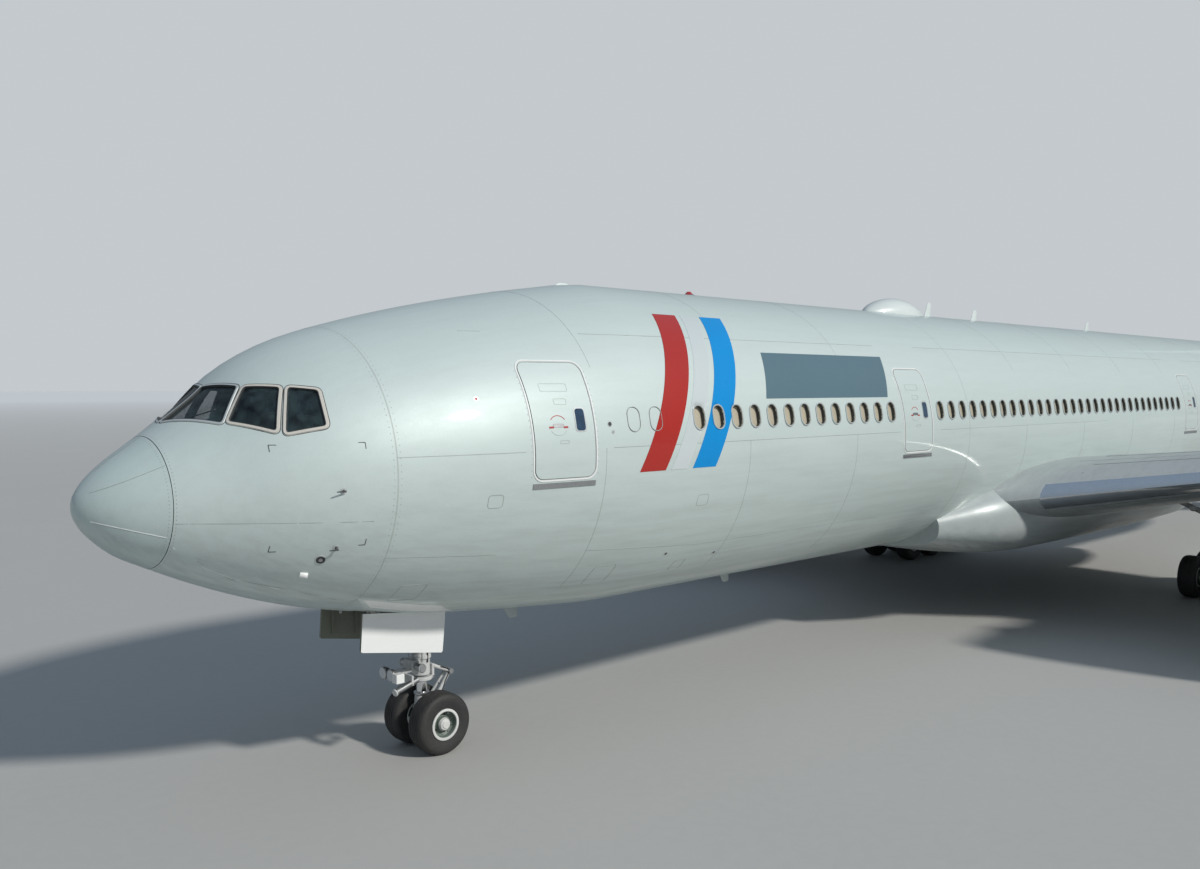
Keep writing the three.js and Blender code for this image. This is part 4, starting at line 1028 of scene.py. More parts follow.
def buildHull():
    front, back, halfWidth, top, bottom = gearBay.values()
    for name, (x0, x1) in sections.items():
        piece = hullSection(name + "_skin", x0, x1, radomePaint if name == "radome" else hullPaint)
        cutters = []
        inside = [row for side in (-1, 1) for row in windowPlaces(side) if x0 + 0.2 < row[0].x < x1 - 0.2]
        if name == "nose_section":
            cutters = [windowCut(corners) for _, _, corners in deckWindows()]
        elif inside:
            cutters.append(windowCutter(inside))
        cutters += [slab("hold_cut", doorOutline(row, doors["holdGap"], 0.19), 1.3, 3.6, **cutting)
                    for row in doors["holds"].values() if x0 < row[0] < x1]
        if name == "forward_fuselage":
            square = [(front, bottom), (back, bottom), (back, top), (front, top)]
            cutters.append(slab("bay_cut", square, -halfWidth, halfWidth, **cutting))
        if cutters:
            cutWith(piece, cutters)
        followHull(piece)
        finishPiece(piece, "airframe", "radome_paint" if name == "radome" else "hull_paint", name)
        print("hull:", name, len(piece.data.polygons), "faces")


# Passenger doors, the bulk door and the two cargo doors

doorMarks = [       # from the door's middle: x, z, width, height, corner, material, lift
    (0.325, 0.575, 0.23, 0.40, 0.07, paleSeam, 0.010), (0.325, 0.575, 0.18, 0.35, 0.05, doorGlass, 0.013),
    (-0.12, 0.49, 0.21, 0.055, 0.02, bareSteel, 0.014), (-0.26, 0.46, 0.09, 0.03, 0.008, markRed, 0.009),
    (0.02, 0.46, 0.09, 0.03, 0.008, markRed, 0.009)]
doorPlates = [(-0.07, 1.09, 0.52, 0.12), (-0.01, 0.865, 0.24, 0.09), (-0.025, 0.225, 0.17, 0.05)]
doorArcs = [        # height, half width and half height, start and end in degrees, strip's width and rise, material
    (0.47, 0.175, 0.175, 40, 140, 0.022, 0.0095, markRed), (0.45, 0.16, 0.12, 200, 340, 0.008, 0.0085, seamPaint)]


def buildPassengerDoor(number, side):
    centreX, sign = doors["centres"][number - 1], sides[side]
    row = (centreX, doors["width"], doors["sill"], doors["head"])

    def outline(grow):
        return doorOutline(row, grow, doors["corner"] + grow)
    scuff = [(centreX + x, doors["sill"] + z) for x, z in ((-0.62, -0.115), (0.62, -0.115), (0.62, -0.03),
                                                           (-0.62, -0.03))]
    parts = [
        sidePatch("panel", outline(-0.035), sign, hullPaint, lift=0.006, sink=0.01),
        outlineStrip("edge", outline(-0.005), sign, doors["edgeWidth"], doors["edgeRise"], edgePaint),
        outlineStrip("gap", outline(-0.034), sign, 0.012, 0.0075, darkSeam),
        sidePatch("scuff", scuff, sign, bareSteel, lift=0.012),
    ]
    for x, z, width, height, corner, material, lift in doorMarks:
        parts.append(sidePatch("mark", roundedOutline(centreX + x, z, width, height, corner), sign, material, lift))
    for x, z, width, height in doorPlates:
        parts.append(outlineStrip("placard", roundedOutline(centreX + x, z, width, height, 0.02), sign, 0.008,
                                  0.0085, seamPaint))
    for z, across, up, start, end, width, rise, material in doorArcs:
        arc = [(centreX - 0.12 + across * math.cos(angle), z + up * math.sin(angle))
               for angle in spread(math.radians(start), math.radians(end), 10)]
        parts.append(sideStrip("handle_arc", arc, sign, width, rise, material))
    name = f"passenger_door_{number}_{side}"
    finishJoined(name + "_trim", parts, "hull_paint", name)


def buildBulkDoor():
    centreX, _, sill, _ = doors["bulk"]
    outline = doorOutline(doors["bulk"], 0, 0.12)
    finishJoined("bulk_cargo_door_trim", [
        sidePatch("panel", outline, 1, hullPaint, lift=0.005, sink=0.01),
        outlineStrip("gap", outline, 1, 0.02, 0.007, darkSeam),
        sidePatch("handle", roundedOutline(centreX, sill + 0.35, 0.22, 0.09, 0.03), 1, bareSteel, 0.010),
    ], "hull_paint", "bulk_cargo_door")


def buildHoldDoor(name):
    # a curved panel with a ribbed inner face, hung from a barrel along its head
    centreX, width, sill, head = row = doors["holds"][name]
    depth, half = doors["panelDepth"], width / 2 - 0.2
    hingeZ = head + 0.010
    hingeY = math.sqrt(hullPoint(centreX, 0).y ** 2 - hingeZ ** 2) - 0.008
    parts = [sidePatch("panel", doorOutline(row, 0, 0.19), 1, hullPaint, lift=0.0, sink=depth, step=0.2,
                       edgeMaterial=bareSteel, solid=True)]
    for start in spread(centreX - half, centreX + half, 8)[:-1]:
        parts.append(rod("barrel", (start + 0.01, hingeY, hingeZ), (start + half / 4 - 0.01, hingeY, hingeZ), 0.026,
                         bareSteel, sides=16))
    for x in spread(centreX - half, centreX + half, 4)[1:-1]:
        parts.append(plainBox("hinge_arm", (x - 0.05, hingeY - 0.06, head - 0.10),
                              (x + 0.05, hingeY - 0.005, hingeZ), bareSteel, 0.004))
    for x in spread(centreX - width / 2 + 0.15, centreX + width / 2 - 0.15, 6):
        angles = [hullAngle(x, z, 1) for z in spread(sill + 0.15, head - 0.12, 8)]
        rib = [(hullPoint(x, angle, -depth), -hullNormal(x, angle)) for angle in angles]
        parts.append(strip("rib", rib, 0.06, 0.03, gearPaint, sink=0.01))
    finishJoined(name + "_panel", parts, "hull_paint", name, body=name)
    finishJoined(name + "_trim", [
        outlineStrip("reveal_edge", doorOutline(row, -0.015, 0.175), 1, 0.014, 0.003, seamPaint),
        *(sidePatch("latch", roundedOutline(centreX + shift * width, sill + 0.12, 0.16, 0.07, 0.02), 1, bareSteel,
                    0.004) for shift in (-0.25, 0.25))], "bare_steel", body=name)
    finishPiece(outlineStrip(name + "_surround", doorOutline(row, 0.065, 0.25), 1, 0.05, 0.003, bareSteel),
                "airframe", "bare_steel")

    # the hold's lining: floor with roller tracks, ceiling, end walls and the far side
    low, high = centreX - width / 2 - 0.02, centreX + width / 2 + 0.02
    floor, ceiling = sill + 0.02, head + 0.02
    reach = math.sqrt(widthAt(centreX) ** 2 - max(floor ** 2, ceiling ** 2)) - depth
    parts = [plainBox(label, start, end, material) for label, start, end, material in (
        ("floor", (low, -1.2, floor - 0.03), (high, 2.0, floor), bareSteel),
        ("ceiling", (low, -1.2, ceiling), (high, 2.75, ceiling + 0.03), cabinTrim),
        ("far_wall", (low, -1.23, floor), (high, -1.2, ceiling), cabinTrim),
        ("front_wall", (low - 0.03, -1.2, floor), (low, reach, ceiling), cabinTrim),
        ("rear_wall", (high, -1.2, floor), (high + 0.03, reach, ceiling), cabinTrim))]
    for x in spread(low + 0.3, high - 0.3, 3):
        parts.append(plainBox("track", (x - 0.05, -1.1, floor), (x + 0.05, 1.9, floor + 0.025), gearPaint, 0.004))
    for y in spread(-1.0, 1.8, 7):
        parts.append(rod("roller", (low + 0.2, y, floor + 0.035), (high - 0.2, y, floor + 0.035), 0.02, bareSteel,
                         sides=8))
    finishJoined(name.replace("door", "hold"), parts, "cabin_trim")


buildHull()
buildCabinWindows()
buildWindscreen()
for number in (1, 2, 3, 4):
    for side in sides:
        buildPassengerDoor(number, side)
buildBulkDoor()
for door in doors["holds"]:
    buildHoldDoor(door)
print("hull, windows and doors made")


# Flying surfaces. A place on one is its span, its part of the chord and its height across the thickness.
# Section columns: part of the chord, upper and lower face in parts of the thickness.

sectionRows = [(0.0, 0.0, 0.0), (0.025, 0.2, -0.18), (0.13, 0.46, -0.35), (0.35, 0.56, -0.44),
               (0.6, 0.42, -0.33), (0.82, 0.2, -0.15), (1.0, 0.02, -0.02)]
upperFace, lowerFace = smoothColumn(sectionRows, 1), smoothColumn(sectionRows, 2)
evenShare = 0.9        # how much of the upper face both sides of an even section take

wing = {        # columns: y, leading edge x, chord, z, thickness
    "stations": [(1.8, 20.72, 14.3, -2.03, 1.9), (3.1, 21.6, 12.9, -1.85, 1.7), (9.7, 26.08, 8.45, -0.85, 0.95),
                 (20.0, 33.07, 4.85, 0.45, 0.47), (28.6, 38.91, 2.35, 1.65, 0.24),
                 (29.9, 40.05, 1.75, 1.83, 0.17), (30.465, 41.15, 0.9, 1.91, 0.09)],
    # name, inner y, outer y, hinge part at each end, greatest turn; a flap doesn't turn
    "surfaces": [("inboard_flap", 3.75, 8.93, 0.81, 0.80, 0), ("flaperon", 9.05, 11.05, 0.775, 0.745, 38),
                 ("outboard_flap", 11.08, 22.57, 0.775, 0.775, 0), ("aileron", 22.7, 27.9, 0.745, 0.72, 34)],
    "paint": (wingPaint, "wing_paint"), "even": False, "upright": False,
    # flap tracks: y, length, half width, depth
    "tracks": [(6.9, 3.6, 0.26, 0.52), (14.2, 3.2, 0.22, 0.43), (18.6, 2.7, 0.19, 0.36)],
    "slats": [(4.3, 8.4), (10.9, 14.2), (14.3, 17.6), (17.7, 21.0), (21.1, 24.6), (24.7, 28.3)], "slatPart": 0.13,
    "spoilers": [(4.6, 6.7), (6.8, 8.9), (11.3, 13.6), (13.7, 16.0), (16.1, 18.4), (18.5, 20.8)],
    "tankPanels": [4.6 + 1.05 * index for index in range(21)],
}
stabiliser = {
    "stations": [(0.9, 53.2, 7.6, 0.85, 0.76), (2.0, 54.0, 6.85, 0.985, 0.68), (9.9, 60.22, 2.78, 1.955, 0.26),
                 (10.5, 60.9, 2.2, 2.03, 0.18), (10.76, 61.5, 1.35, 2.06, 0.09)],
    "surfaces": [("elevator", 2.65, 9.8, 0.74, 0.69, 34)],
    "paint": (wingPaint, "wing_paint"), "even": True, "upright": False,
}
fin = {         # columns: z, leading edge x, chord, 0, thickness
    "stations": [(2.3, 49.0, 11.5, 0, 0.9), (3.1, 50.6, 9.85, 0, 0.86), (4.3, 52.1, 8.9, 0, 0.8),
                 (12.5, 59.45, 3.95, 0, 0.4), (12.95, 60.05, 3.35, 0, 0.3), (13.13, 60.7, 2.45, 0, 0.15)],
    "surfaces": [("rudder", 3.75, 12.45, 0.71, 0.68, 28)],
    "paint": (hullPaint, "hull_paint"), "even": True, "upright": True,
}
runningGap = 0.026
noseShare = 0.94       # radius of a moving surface's nose in parts of its half thickness at the hinge
foreCount, aftCount = 18, 7


class Plane:
    # a wing, a stabiliser or the fin, on one side
    def __init__(self, layout, sign=1):
        self.rows, self.surfaces, self.paint, self.even, self.upright = list(layout.values())[:5]
        self.sign = sign

    def column(self, span, column):
        index = min(max(bisect.bisect_right([row[0] for row in self.rows], span) - 1, 0), len(self.rows) - 2)
        low, high = self.rows[index], self.rows[index + 1]
        return low[column] + (high[column] - low[column]) * (span - low[0]) / (high[0] - low[0])

    def xAt(self, span, part):
        return self.column(span, 1) + part * self.column(span, 2)

    def partAt(self, span, x):
        return (x - self.column(span, 1)) / self.column(span, 2)

    def heights(self, span, part):
        # of the upper and the lower face
        thickness, high = self.column(span, 4), upperFace(part) * (evenShare if self.even else 1)
        return high * thickness, (-high if self.even else lowerFace(part)) * thickness

    def toReal(self, x, span, height):
        if self.upright:
            return Vector((x, height * self.sign, span))
        return Vector((x, self.sign * span, self.column(span, 3) + height))

    def at(self, span, part, upper):
        return self.toReal(self.xAt(span, part), span, self.heights(span, part)[0 if upper else 1])

    def face(self, span, part, upper=True):
        # (point, normal) on one of its faces
        along = self.at(span + 0.01, part, upper) - self.at(span - 0.01, part, upper)
        across = self.at(span, min(part + 0.004, 1), upper) - self.at(span, max(part - 0.004, 0.001), upper)
        normal = along.cross(across).normalized()
        outside = normal.y * self.sign if self.upright else normal.z
        return self.at(span, part, upper), normal if (outside > 0) == upper else -normal

    def line(self, corners, upper, width, height, material, closed=False, longest=0.5):
        # a strip through (span, part) corners
        path = []
        for start, end in zip(corners, corners[1:] + corners[:1] if closed else corners[1:]):
            length = math.hypot(end[0] - start[0], (end[1] - start[1]) * 8)
            path += between(start, end, max(1, math.ceil(length / longest)))
        path += [] if closed else [corners[-1]]
        return strip("line", [self.face(*place, upper) for place in path], width, height, material, closed)

    def slanted(self, part, originX, origin, slope):
        # where a slanting line from a place on the hinge reaches a part of the chord
        span = origin
        for _ in range(12):
            x = self.xAt(span, part)
            span = origin - slope * (x - originX)
        return x, span, self.heights(span, part)

    def ringOf(self, rows):
        # (x, span, heights) rows as points from the trailing edge over the top to the front and back below
        upper, lower = ([self.toReal(x, span, heights[face]) for x, span, heights in rows] for face in (0, 1))
        return upper[::-1] + lower[1:]


class Hinge:
    # the line that a surface turns on, or the front edge of a flap
    def __init__(self, plane, label, inner, outer, innerPart, outerPart, turn):
        self.plane, self.label, self.turn, self.ends = plane, label, math.radians(turn), []
        self.inner, self.outer = inner, outer
        for span, part in ((inner, innerPart), (outer, outerPart)):
            high, low = plane.heights(span, part)
            self.ends.append((plane.xAt(span, part), (high + low) / 2, (high - low) / 2))
        self.sweep = (self.ends[1][0] - self.ends[0][0]) / (outer - inner)
        self.stretch = math.hypot(1, self.sweep)

    def at(self, span):
        # x, middle height and half thickness on the hinge line
        share = (span - self.inner) / (self.outer - self.inner)
        return [a + (b - a) * share for a, b in zip(*self.ends)]

    def onNose(self, span, slope, radius, angle, back=0):
        x, middle, _ = self.at(span)
        reach, rise = radius * self.stretch * math.cos(angle) - back, radius * math.sin(angle)
        return x + reach, span - slope * reach, (middle + rise, middle - rise)

    def fixedRing(self, span, slope, truncated):
        # the fixed part's section, up to the cove or on to the trailing edge
        plane, (hingeX, _, half) = self.plane, self.at(span)
        back = (runningGap + half * math.tan(self.turn)) * self.stretch if self.turn else runningGap
        radius = half * noseShare + runningGap if self.turn else 0.6 * half
        lip, first = plane.partAt(span, hingeX - back), math.atan2(half, -back)
        parts = [lip * (1 - math.cos(angle)) for angle in spread(0, math.pi / 2, foreCount)]
        rows = [(plane.xAt(span, part), span, plane.heights(span, part)) for part in parts]
        for share in spread(0, 1, aftCount)[1:]:
            angle = first + (math.radians(177) - first) * share
            rows.append(self.onNose(span, slope, radius, angle, 0 if self.turn else runningGap) if truncated
                        else plane.slanted(lip + (1 - lip) * share, hingeX, span, slope))
        return plane.ringOf(rows)

    def movingRing(self, span, slope):
        # a moving surface's own section: a round nose on the hinge, then the skin to the trailing edge
        hingeX, _, half = self.at(span)
        radius, start = half * (noseShare if self.turn else 0.5), self.plane.partAt(span, hingeX)
        rows = [self.onNose(span, slope, radius, angle) for angle in spread(math.pi, math.pi / 2, foreCount // 2)]
        rows += [self.plane.slanted(start + (1 - start) * (0.02 + 0.98 * share ** 1.3), hingeX, span, slope)
                 for share in spread(0, 1, foreCount)[1:]]
        return self.plane.ringOf(rows)


def buildSurfaces(prefix, name, plane):
    # every surface that hangs on the plane, and the fixed part with its coves, which it gives back
    hinges = [Hinge(plane, *row) for row in plane.surfaces]
    sweeps = [0.0, *(hinge.sweep for hinge in hinges), 0.0]
    rings, spans = [], [row[0] for row in plane.rows]
    for span in spans + spread(spans[-2], spans[-1], 3)[1:-1]:
        if span < hinges[0].inner - 0.1:
            rings.append((span, hinges[0].fixedRing(span, 0.0, False)))
        if span > hinges[-1].outer + 0.1:
            rings.append((span, hinges[-1].fixedRing(span, 0.0, False)))
    for index, hinge in enumerate(hinges):
        low, high = hinge.inner, hinge.outer
        first, last = (hinge.sweep if hinge.turn else sweeps[index + shift] for shift in (0, 2))

        def slopeAt(span):
            return first + (last - first) * (span - low) / (high - low)
        for span, slope, outermost, beyond in ((low - runningGap, first, index == 0, -0.001),
                                               (high + runningGap, last, hinge is hinges[-1], 0.001)):
            rings.append((span, hinge.fixedRing(span, slope, True)))
            if outermost:
                rings.append((span + beyond, hinge.fixedRing(span, slope, False)))
        inside = {span for span in spread(low, high, max(4, int((high - low) / 1.2)))[1:-1] + spans
                  if low + 0.05 < span < high - 0.05}
        rings += [(span, hinge.fixedRing(span, slopeAt(span), True)) for span in inside]
        tail = [hinge.movingRing(span, slopeAt(span)) for span in sorted({low, high, *inside})]
        label = prefix + hinge.label
        finishPiece(loftRings(label + "_skin", tail, plane.paint[0], 28), label if hinge.turn else "airframe",
                    plane.paint[1], label)
    rings.sort(key=lambda row: row[0])
    return loftRings(prefix + name + "_skin", [ring for _, ring in rings], plane.paint[0], 28)


def wicks(plane, spans, reach):
    points = [plane.face(span, 0.995)[0] for span in spans]
    return [rod("wick", point, point + Vector(reach), 0.006, hoseBlack, sides=8) for point in points]


def buildWing(sideName):
    side, plane = sideName + "_", Plane(wing, sides[sideName])
    fixed = buildSurfaces(side, "wing", plane)
    fixed.data.materials.append(lipMetal)
    for face in fixed.data.polygons:
        centre = realPoint(face.center)
        span = abs(centre.y)
        if plane.partAt(span, centre.x) < 0.035 and 3.6 < span < 29.0:
            face.material_index = 1
    tracks = []
    for y, length, halfWidth, depth in wing["tracks"]:
        x, low = plane.xAt(y, 0.6) + length * 0.12, plane.heights(y, 0.6)[1]
        tracks.append(teardrop("track", (x, plane.sign * y, plane.column(y, 3) + low - depth * 0.1),
                               (length / 2, halfWidth, depth / 2), wingPaint, blunt=0.42))
    finishJoined(side + "wing_body", [fixed, *tracks], "wing_paint", side + "wing")

    # slats, spoilers, tank panels, wicks and the tip's lamp
    parts, part = [], wing["slatPart"]
    for low, high in wing["slats"]:
        parts.append(plane.line([(high, 0.006), (high, part), (low, part), (low, 0.006)], True, 0.014, 0.003,
                                wingSeam))
        parts.append(plane.line([(high, 0.01), (high, 0.045), (low, 0.045), (low, 0.01)], False, 0.014, 0.003,
                                wingSeam))
    for low, high in wing["spoilers"]:
        front, back = (0.655, 0.765) if low > 9 else (0.70, 0.795)
        parts.append(plane.line([(low, front), (high, front), (high, back), (low, back)], True, 0.016, 0.003,
                                wingSeam, closed=True))
    parts.append(plane.line([(3.7, 0.20), (28.3, 0.16)], True, 0.012, 0.002, wingSeam))
    parts.append(plane.line([(3.9, 0.30), (8.8, 0.30), (8.8, 0.62), (3.9, 0.62)], True, 0.05, 0.002, darkSeam,
                            closed=True))
    panels = [plane.face(span, 0.36, False) for span in wing["tankPanels"] if not 8.9 < span < 10.4]
    parts.append(grown("tank_panels", panels, roundedRims, wingSeam, Width=0.46, Height=0.28, Corner=0.139,
                       Rim=0.016, Thickness=0.012))
    parts += wicks(plane, (28.2, 28.6, 29.0, 29.4, 29.75), (0.16, 0, -0.01))
    tip, _ = plane.face(30.1, 0.06)
    parts.append(teardrop("lamp", tip + Vector((0.12, 0, -0.03)), (0.16, 0.05, 0.045),
                          beaconRed if plane.sign < 0 else navGreen))
    finishJoined(side + "wing_trim", parts, "wing_paint")


def buildTail():
    for sideName, sign in sides.items():
        side, plane = sideName + "_", Plane(stabiliser, sign)
        finishPiece(buildSurfaces(side, "stabiliser", plane), "airframe", "wing_paint", side + "stabiliser")
        finishJoined(side + "stabiliser_trim", [
            plane.line([(2.1, 0.10), (9.9, 0.10)], True, 0.012, 0.002, wingSeam),
            *wicks(plane, (9.95, 10.2, 10.45), (0.15, 0, 0))], "wing_paint")
    plane = Plane(fin)
    finishPiece(buildSurfaces("", "fin", plane), "airframe", "hull_paint", "fin")
    finishJoined("fin_trim", [plane.line(path, upper, 0.014, 0.002, seamPaint) for upper in (True, False)
                              for path in ([(3.4, 0.09), (12.5, 0.09)], [(4.3, 0.30), (12.4, 0.30)])], "hull_paint")


for sideName in sides:
    buildWing(sideName)
buildTail()
print("wings and tail made")


# Engines and the belly fairing

engine = {
    "inlet": 21.1, "y": 9.61, "z": -2.594,
    # along the axle from the inlet's lip, radius
    "outer": [(0.0, 1.64), (0.02, 1.7), (0.07, 1.745), (0.25, 1.808), (0.6, 1.86), (1.2, 1.893), (1.8, 1.905),
              (2.6, 1.892), (3.3, 1.85), (4.2, 1.71), (5.0, 1.5)],
    "inner": [(5.0, 1.475), (3.6, 1.56), (2.4, 1.43), (1.0, 1.43), (0.3, 1.48), (0.08, 1.56)],
    "marks": [1] * 3 + [0] * 7 + [2] * 5 + [1] * 2, "seams": (1.22, 3.05, 4.35),
    "fanX": 1.7, "fanRadius": 1.372, "hub": 0.43, "blades": 22, "vanes": 40,
    "bladeSection": [(-0.5, 0), (-0.3, 0.45), (0, 0.5), (0.3, 0.35), (0.5, 0), (0.3, -0.35), (0, -0.45),
                     (-0.3, -0.3)],
    "spinner": [(-0.62, 0.0), (-0.6, 0.05), (-0.52, 0.15), (-0.4, 0.25), (-0.25, 0.335), (-0.1, 0.398), (0.0, 0.43),
                (0.17, 0.44), (0.17, 0.11), (0.4, 0.11), (0.4, 0.0)],
    "core": [(2.13, 0.0), (2.13, 0.52), (2.6, 0.8), (3.2, 0.93), (3.9, 0.98), (4.6, 0.955), (5.2, 0.9), (5.9, 0.78),
             (6.6, 0.64), (6.57, 0.6), (6.2, 0.6), (6.2, 0.44), (6.65, 0.4), (7.0, 0.25), (7.3, 0.09), (7.4, 0.0)],
    # along, half width, low, high
    "pylon": [(1.9, 0.04, 1.56, 1.9), (2.6, 0.19, 0.9, 2.15), (4.0, 0.24, 0.93, 2.42), (5.6, 0.24, 0.88, 2.65),
              (7.2, 0.2, 0.9, 2.7), (8.8, 0.09, 1.35, 2.5)],
}
fairingRows = [     # x, half width, lower and upper z
    (19.7, 2.2, -3.06, -1.9), (21.5, 3.15, -3.38, -1.3), (23.5, 3.42, -3.56, -1.0), (30.0, 3.48, -3.6, -0.95),
    (34.5, 3.42, -3.56, -1.05), (37.0, 3.0, -3.33, -1.5), (38.4, 2.2, -3.06, -2.0)]


def superLoft(name, rows, steps, count, power, material, origin=(0, 0, 0)):
    # a skin through rounded boxes of (x, half width, low, high), set out evenly along x
    columns, rings = [smoothColumn(rows, column) for column in (1, 2, 3)], []
    for along in spread(rows[0][0], rows[-1][0], steps):
        halfWidth, low, high = (column(along) for column in columns)
        rings.append([(origin[0] + along, origin[1] + math.copysign(abs(across) ** power, across) * halfWidth,
                       origin[2] + (low + high) / 2 + math.copysign(abs(up) ** power, up) * (high - low) / 2)
                      for across, up in circle(count, 0.5)])
    return loftRings(name, rings, material, 40)


def buildFan(side, centre):
    radii, rings = spread(engine["hub"] - 0.04, engine["fanRadius"], 9), []
    hub = (centre[0] + engine["fanX"], *centre[1:])
    for radius in radii:
        share = (radius - radii[0]) / (radii[-1] - radii[0])
        pitch = math.radians(30 + 33 * share ** 0.8)
        chord, thick = 0.27 + 0.1 * math.sin(math.pi * share * 0.7), 0.03 - 0.019 * share
        ring = []
        for along, across in engine["bladeSection"]:
            u, v = along * chord, across * thick + 0.14 * (0.25 - along * along) * chord
            x = u * math.cos(pitch) - v * math.sin(pitch) + 0.085 - 0.05 * math.sin(math.pi * share)
            turn = (u * math.sin(pitch) + v * math.cos(pitch)) / max(radius, 0.3)
            ring.append((hub[0] + x, hub[1] + radius * math.sin(turn), hub[2] + radius * math.cos(turn)))
        rings.append(ring)
    finishJoined(side + "fan_rotor", [
        ringed(loftRings("blade", rings, fanMetal), hub, engine["blades"], fanMetal),
        turned("spinner", engine["spinner"], hub, 40, linerGrey)], "fan_metal", side + "fan", body=side + "fan")


def buildEngine(sideName):
    side, sign = sideName + "_", sides[sideName]
    centre = Vector((engine["inlet"], sign * engine["y"], engine["z"]))
    parts = [turned("nacelle", engine["outer"] + engine["inner"], centre, 120, [wingPaint, lipMetal, linerGrey],
                    engine["marks"], closed=True)]
    outAt = smoothColumn(engine["outer"], 1)
    for along in engine["seams"]:
        ring = [Vector((0, out, up)) for up, out in circle(121)]
        parts.append(strip("seam", [(centre + Vector((along, 0, 0)) + normal * outAt(along), normal)
                                    for normal in ring], 0.018, 0.003, seamPaint, True))
    down = Vector((0, 0, -1))
    parts.append(strip("split", [(centre + Vector((along, 0, -outAt(along))), down)
                                 for along in spread(1.22, 4.95, 22)], 0.018, 0.003, seamPaint))
    # the strake on the nacelle's inner shoulder
    lean = -sign * math.radians(52)
    out = Vector((0, math.sin(lean), math.cos(lean)))
    front, back = (centre + Vector((along, 0, 0)) + out * radius for along, radius in ((1.35, 1.875), (2.55, 1.87)))
    edge = [front, front.lerp(back, 0.62) + out * 0.26, back + out * 0.2, back]
    aside = out.cross(Vector((0.012, 0, 0)))
    parts.append(prism("strake", *([corner + aside * way for corner in edge] for way in (-1, 1)), wingPaint))
    finishJoined(side + "nacelle_shell", parts, "wing_paint", side + "nacelle")

    vane = plainBox("vane", centre + Vector((2.2, -0.012, 0.45)), centre + Vector((2.5, 0.012, 1.45)), coreMetal)
    finishJoined(side + "engine_core_skin", [
        turned("core", engine["core"], centre, 48, [coreMetal, linerGrey], [1, 1] + [0] * 13),
        ringed(vane, centre, engine["vanes"], coreMetal)], "core_metal", side + "engine_core")
    finishPiece(superLoft(side + "pylon_skin", engine["pylon"], 24, 20, 0.6, wingPaint, centre), "airframe",
                "wing_paint", side + "pylon")
    buildFan(side, centre)


for sideName in sides:
    buildEngine(sideName)
finishPiece(superLoft("belly_fairing_skin", fairingRows, 44, 72, 0.7, fairingPaint), "airframe", "fairing_paint",
            "belly_fairing")
print("engines and fairing made")


# Landing gear. Heights in this part are over the ground.

wheels = {      # places: x of the axles; tyre: radius, width; spread: between the two tyres' middles
    "nose": {"y": 0.0, "places": [5.78], "tyre": 0.54, "width": 0.43, "rim": 0.275, "spread": 0.78, "axle": 0.08,
             "stub": 0.157, "bolts": 10, "grooves": (-0.2, -0.07, 0.07, 0.2)},
    "main": {"y": 5.49, "places": [30.3, 31.77, 33.24], "tyre": 0.635, "width": 0.49, "rim": 0.3, "spread": 1.4,
             "axle": 0.095, "stub": 0.447, "bolts": 14, "grooves": (-0.24, -0.12, 0.0, 0.12, 0.24)},
}
wheelShape = {      # along the axle in parts of the width, then the radius in parts of the tyre's or the rim's
    "groove": [(-0.016, 1.0), (-0.011, 0.982), (0.011, 0.982), (0.016, 1.0)],
    "shoulder": [(0.3, 0.99), (0.38, 0.972), (0.445, 0.935), (0.485, 0.88), (0.498, 0.81), (0.485, 0.7),
                 (0.455, 0.6)],
    "disc": [(-0.1, 0.0), (-0.1, 0.5), (-0.3, 0.8), (-0.44, 0.86), (-0.46, 0.95), (-0.44, 0.975), (0.30, 0.975),
             (0.455, 1.0), (0.475, 1.0), (0.485, 0.96), (0.48, 0.85), (0.45, 0.825), (0.24, 0.80), (0.19, 0.62),
             (0.22, 0.46), (0.35, 0.42), (0.40, 0.37), (0.44, 0.36), (0.465, 0.32), (0.47, 0.0)],
    "marks": [1] * 4 + [0] * 7 + [1] * 4 + [0] * 4,
}
# places of the nose gear's parts: x of the leg, the axle, the tow lug, the brace's elbow and its foot
steered = {"x": 5.68, "axleX": 5.78, "axleZ": 0.54, "apex": (6.24, 1.3), "lug": 5.44, "elbow": 4.88, "brace": 4.08}
trunk = {"y": 5.49, "x": 31.77, "beamZ": 0.635}


def legRod(name, start, end, radius, material=gearPaint, **options):
    return rod(name, over(*start), over(*end), radius, material, **options)


def legBox(name, low, high, bevel=0.012, material=gearPaint):
    return plainBox(name, over(*low), over(*high), material, bevel)


def hose(radius, *corners, material=hoseBlack):
    return pipe("hose", [over(*corner) for corner in corners], radius, material)


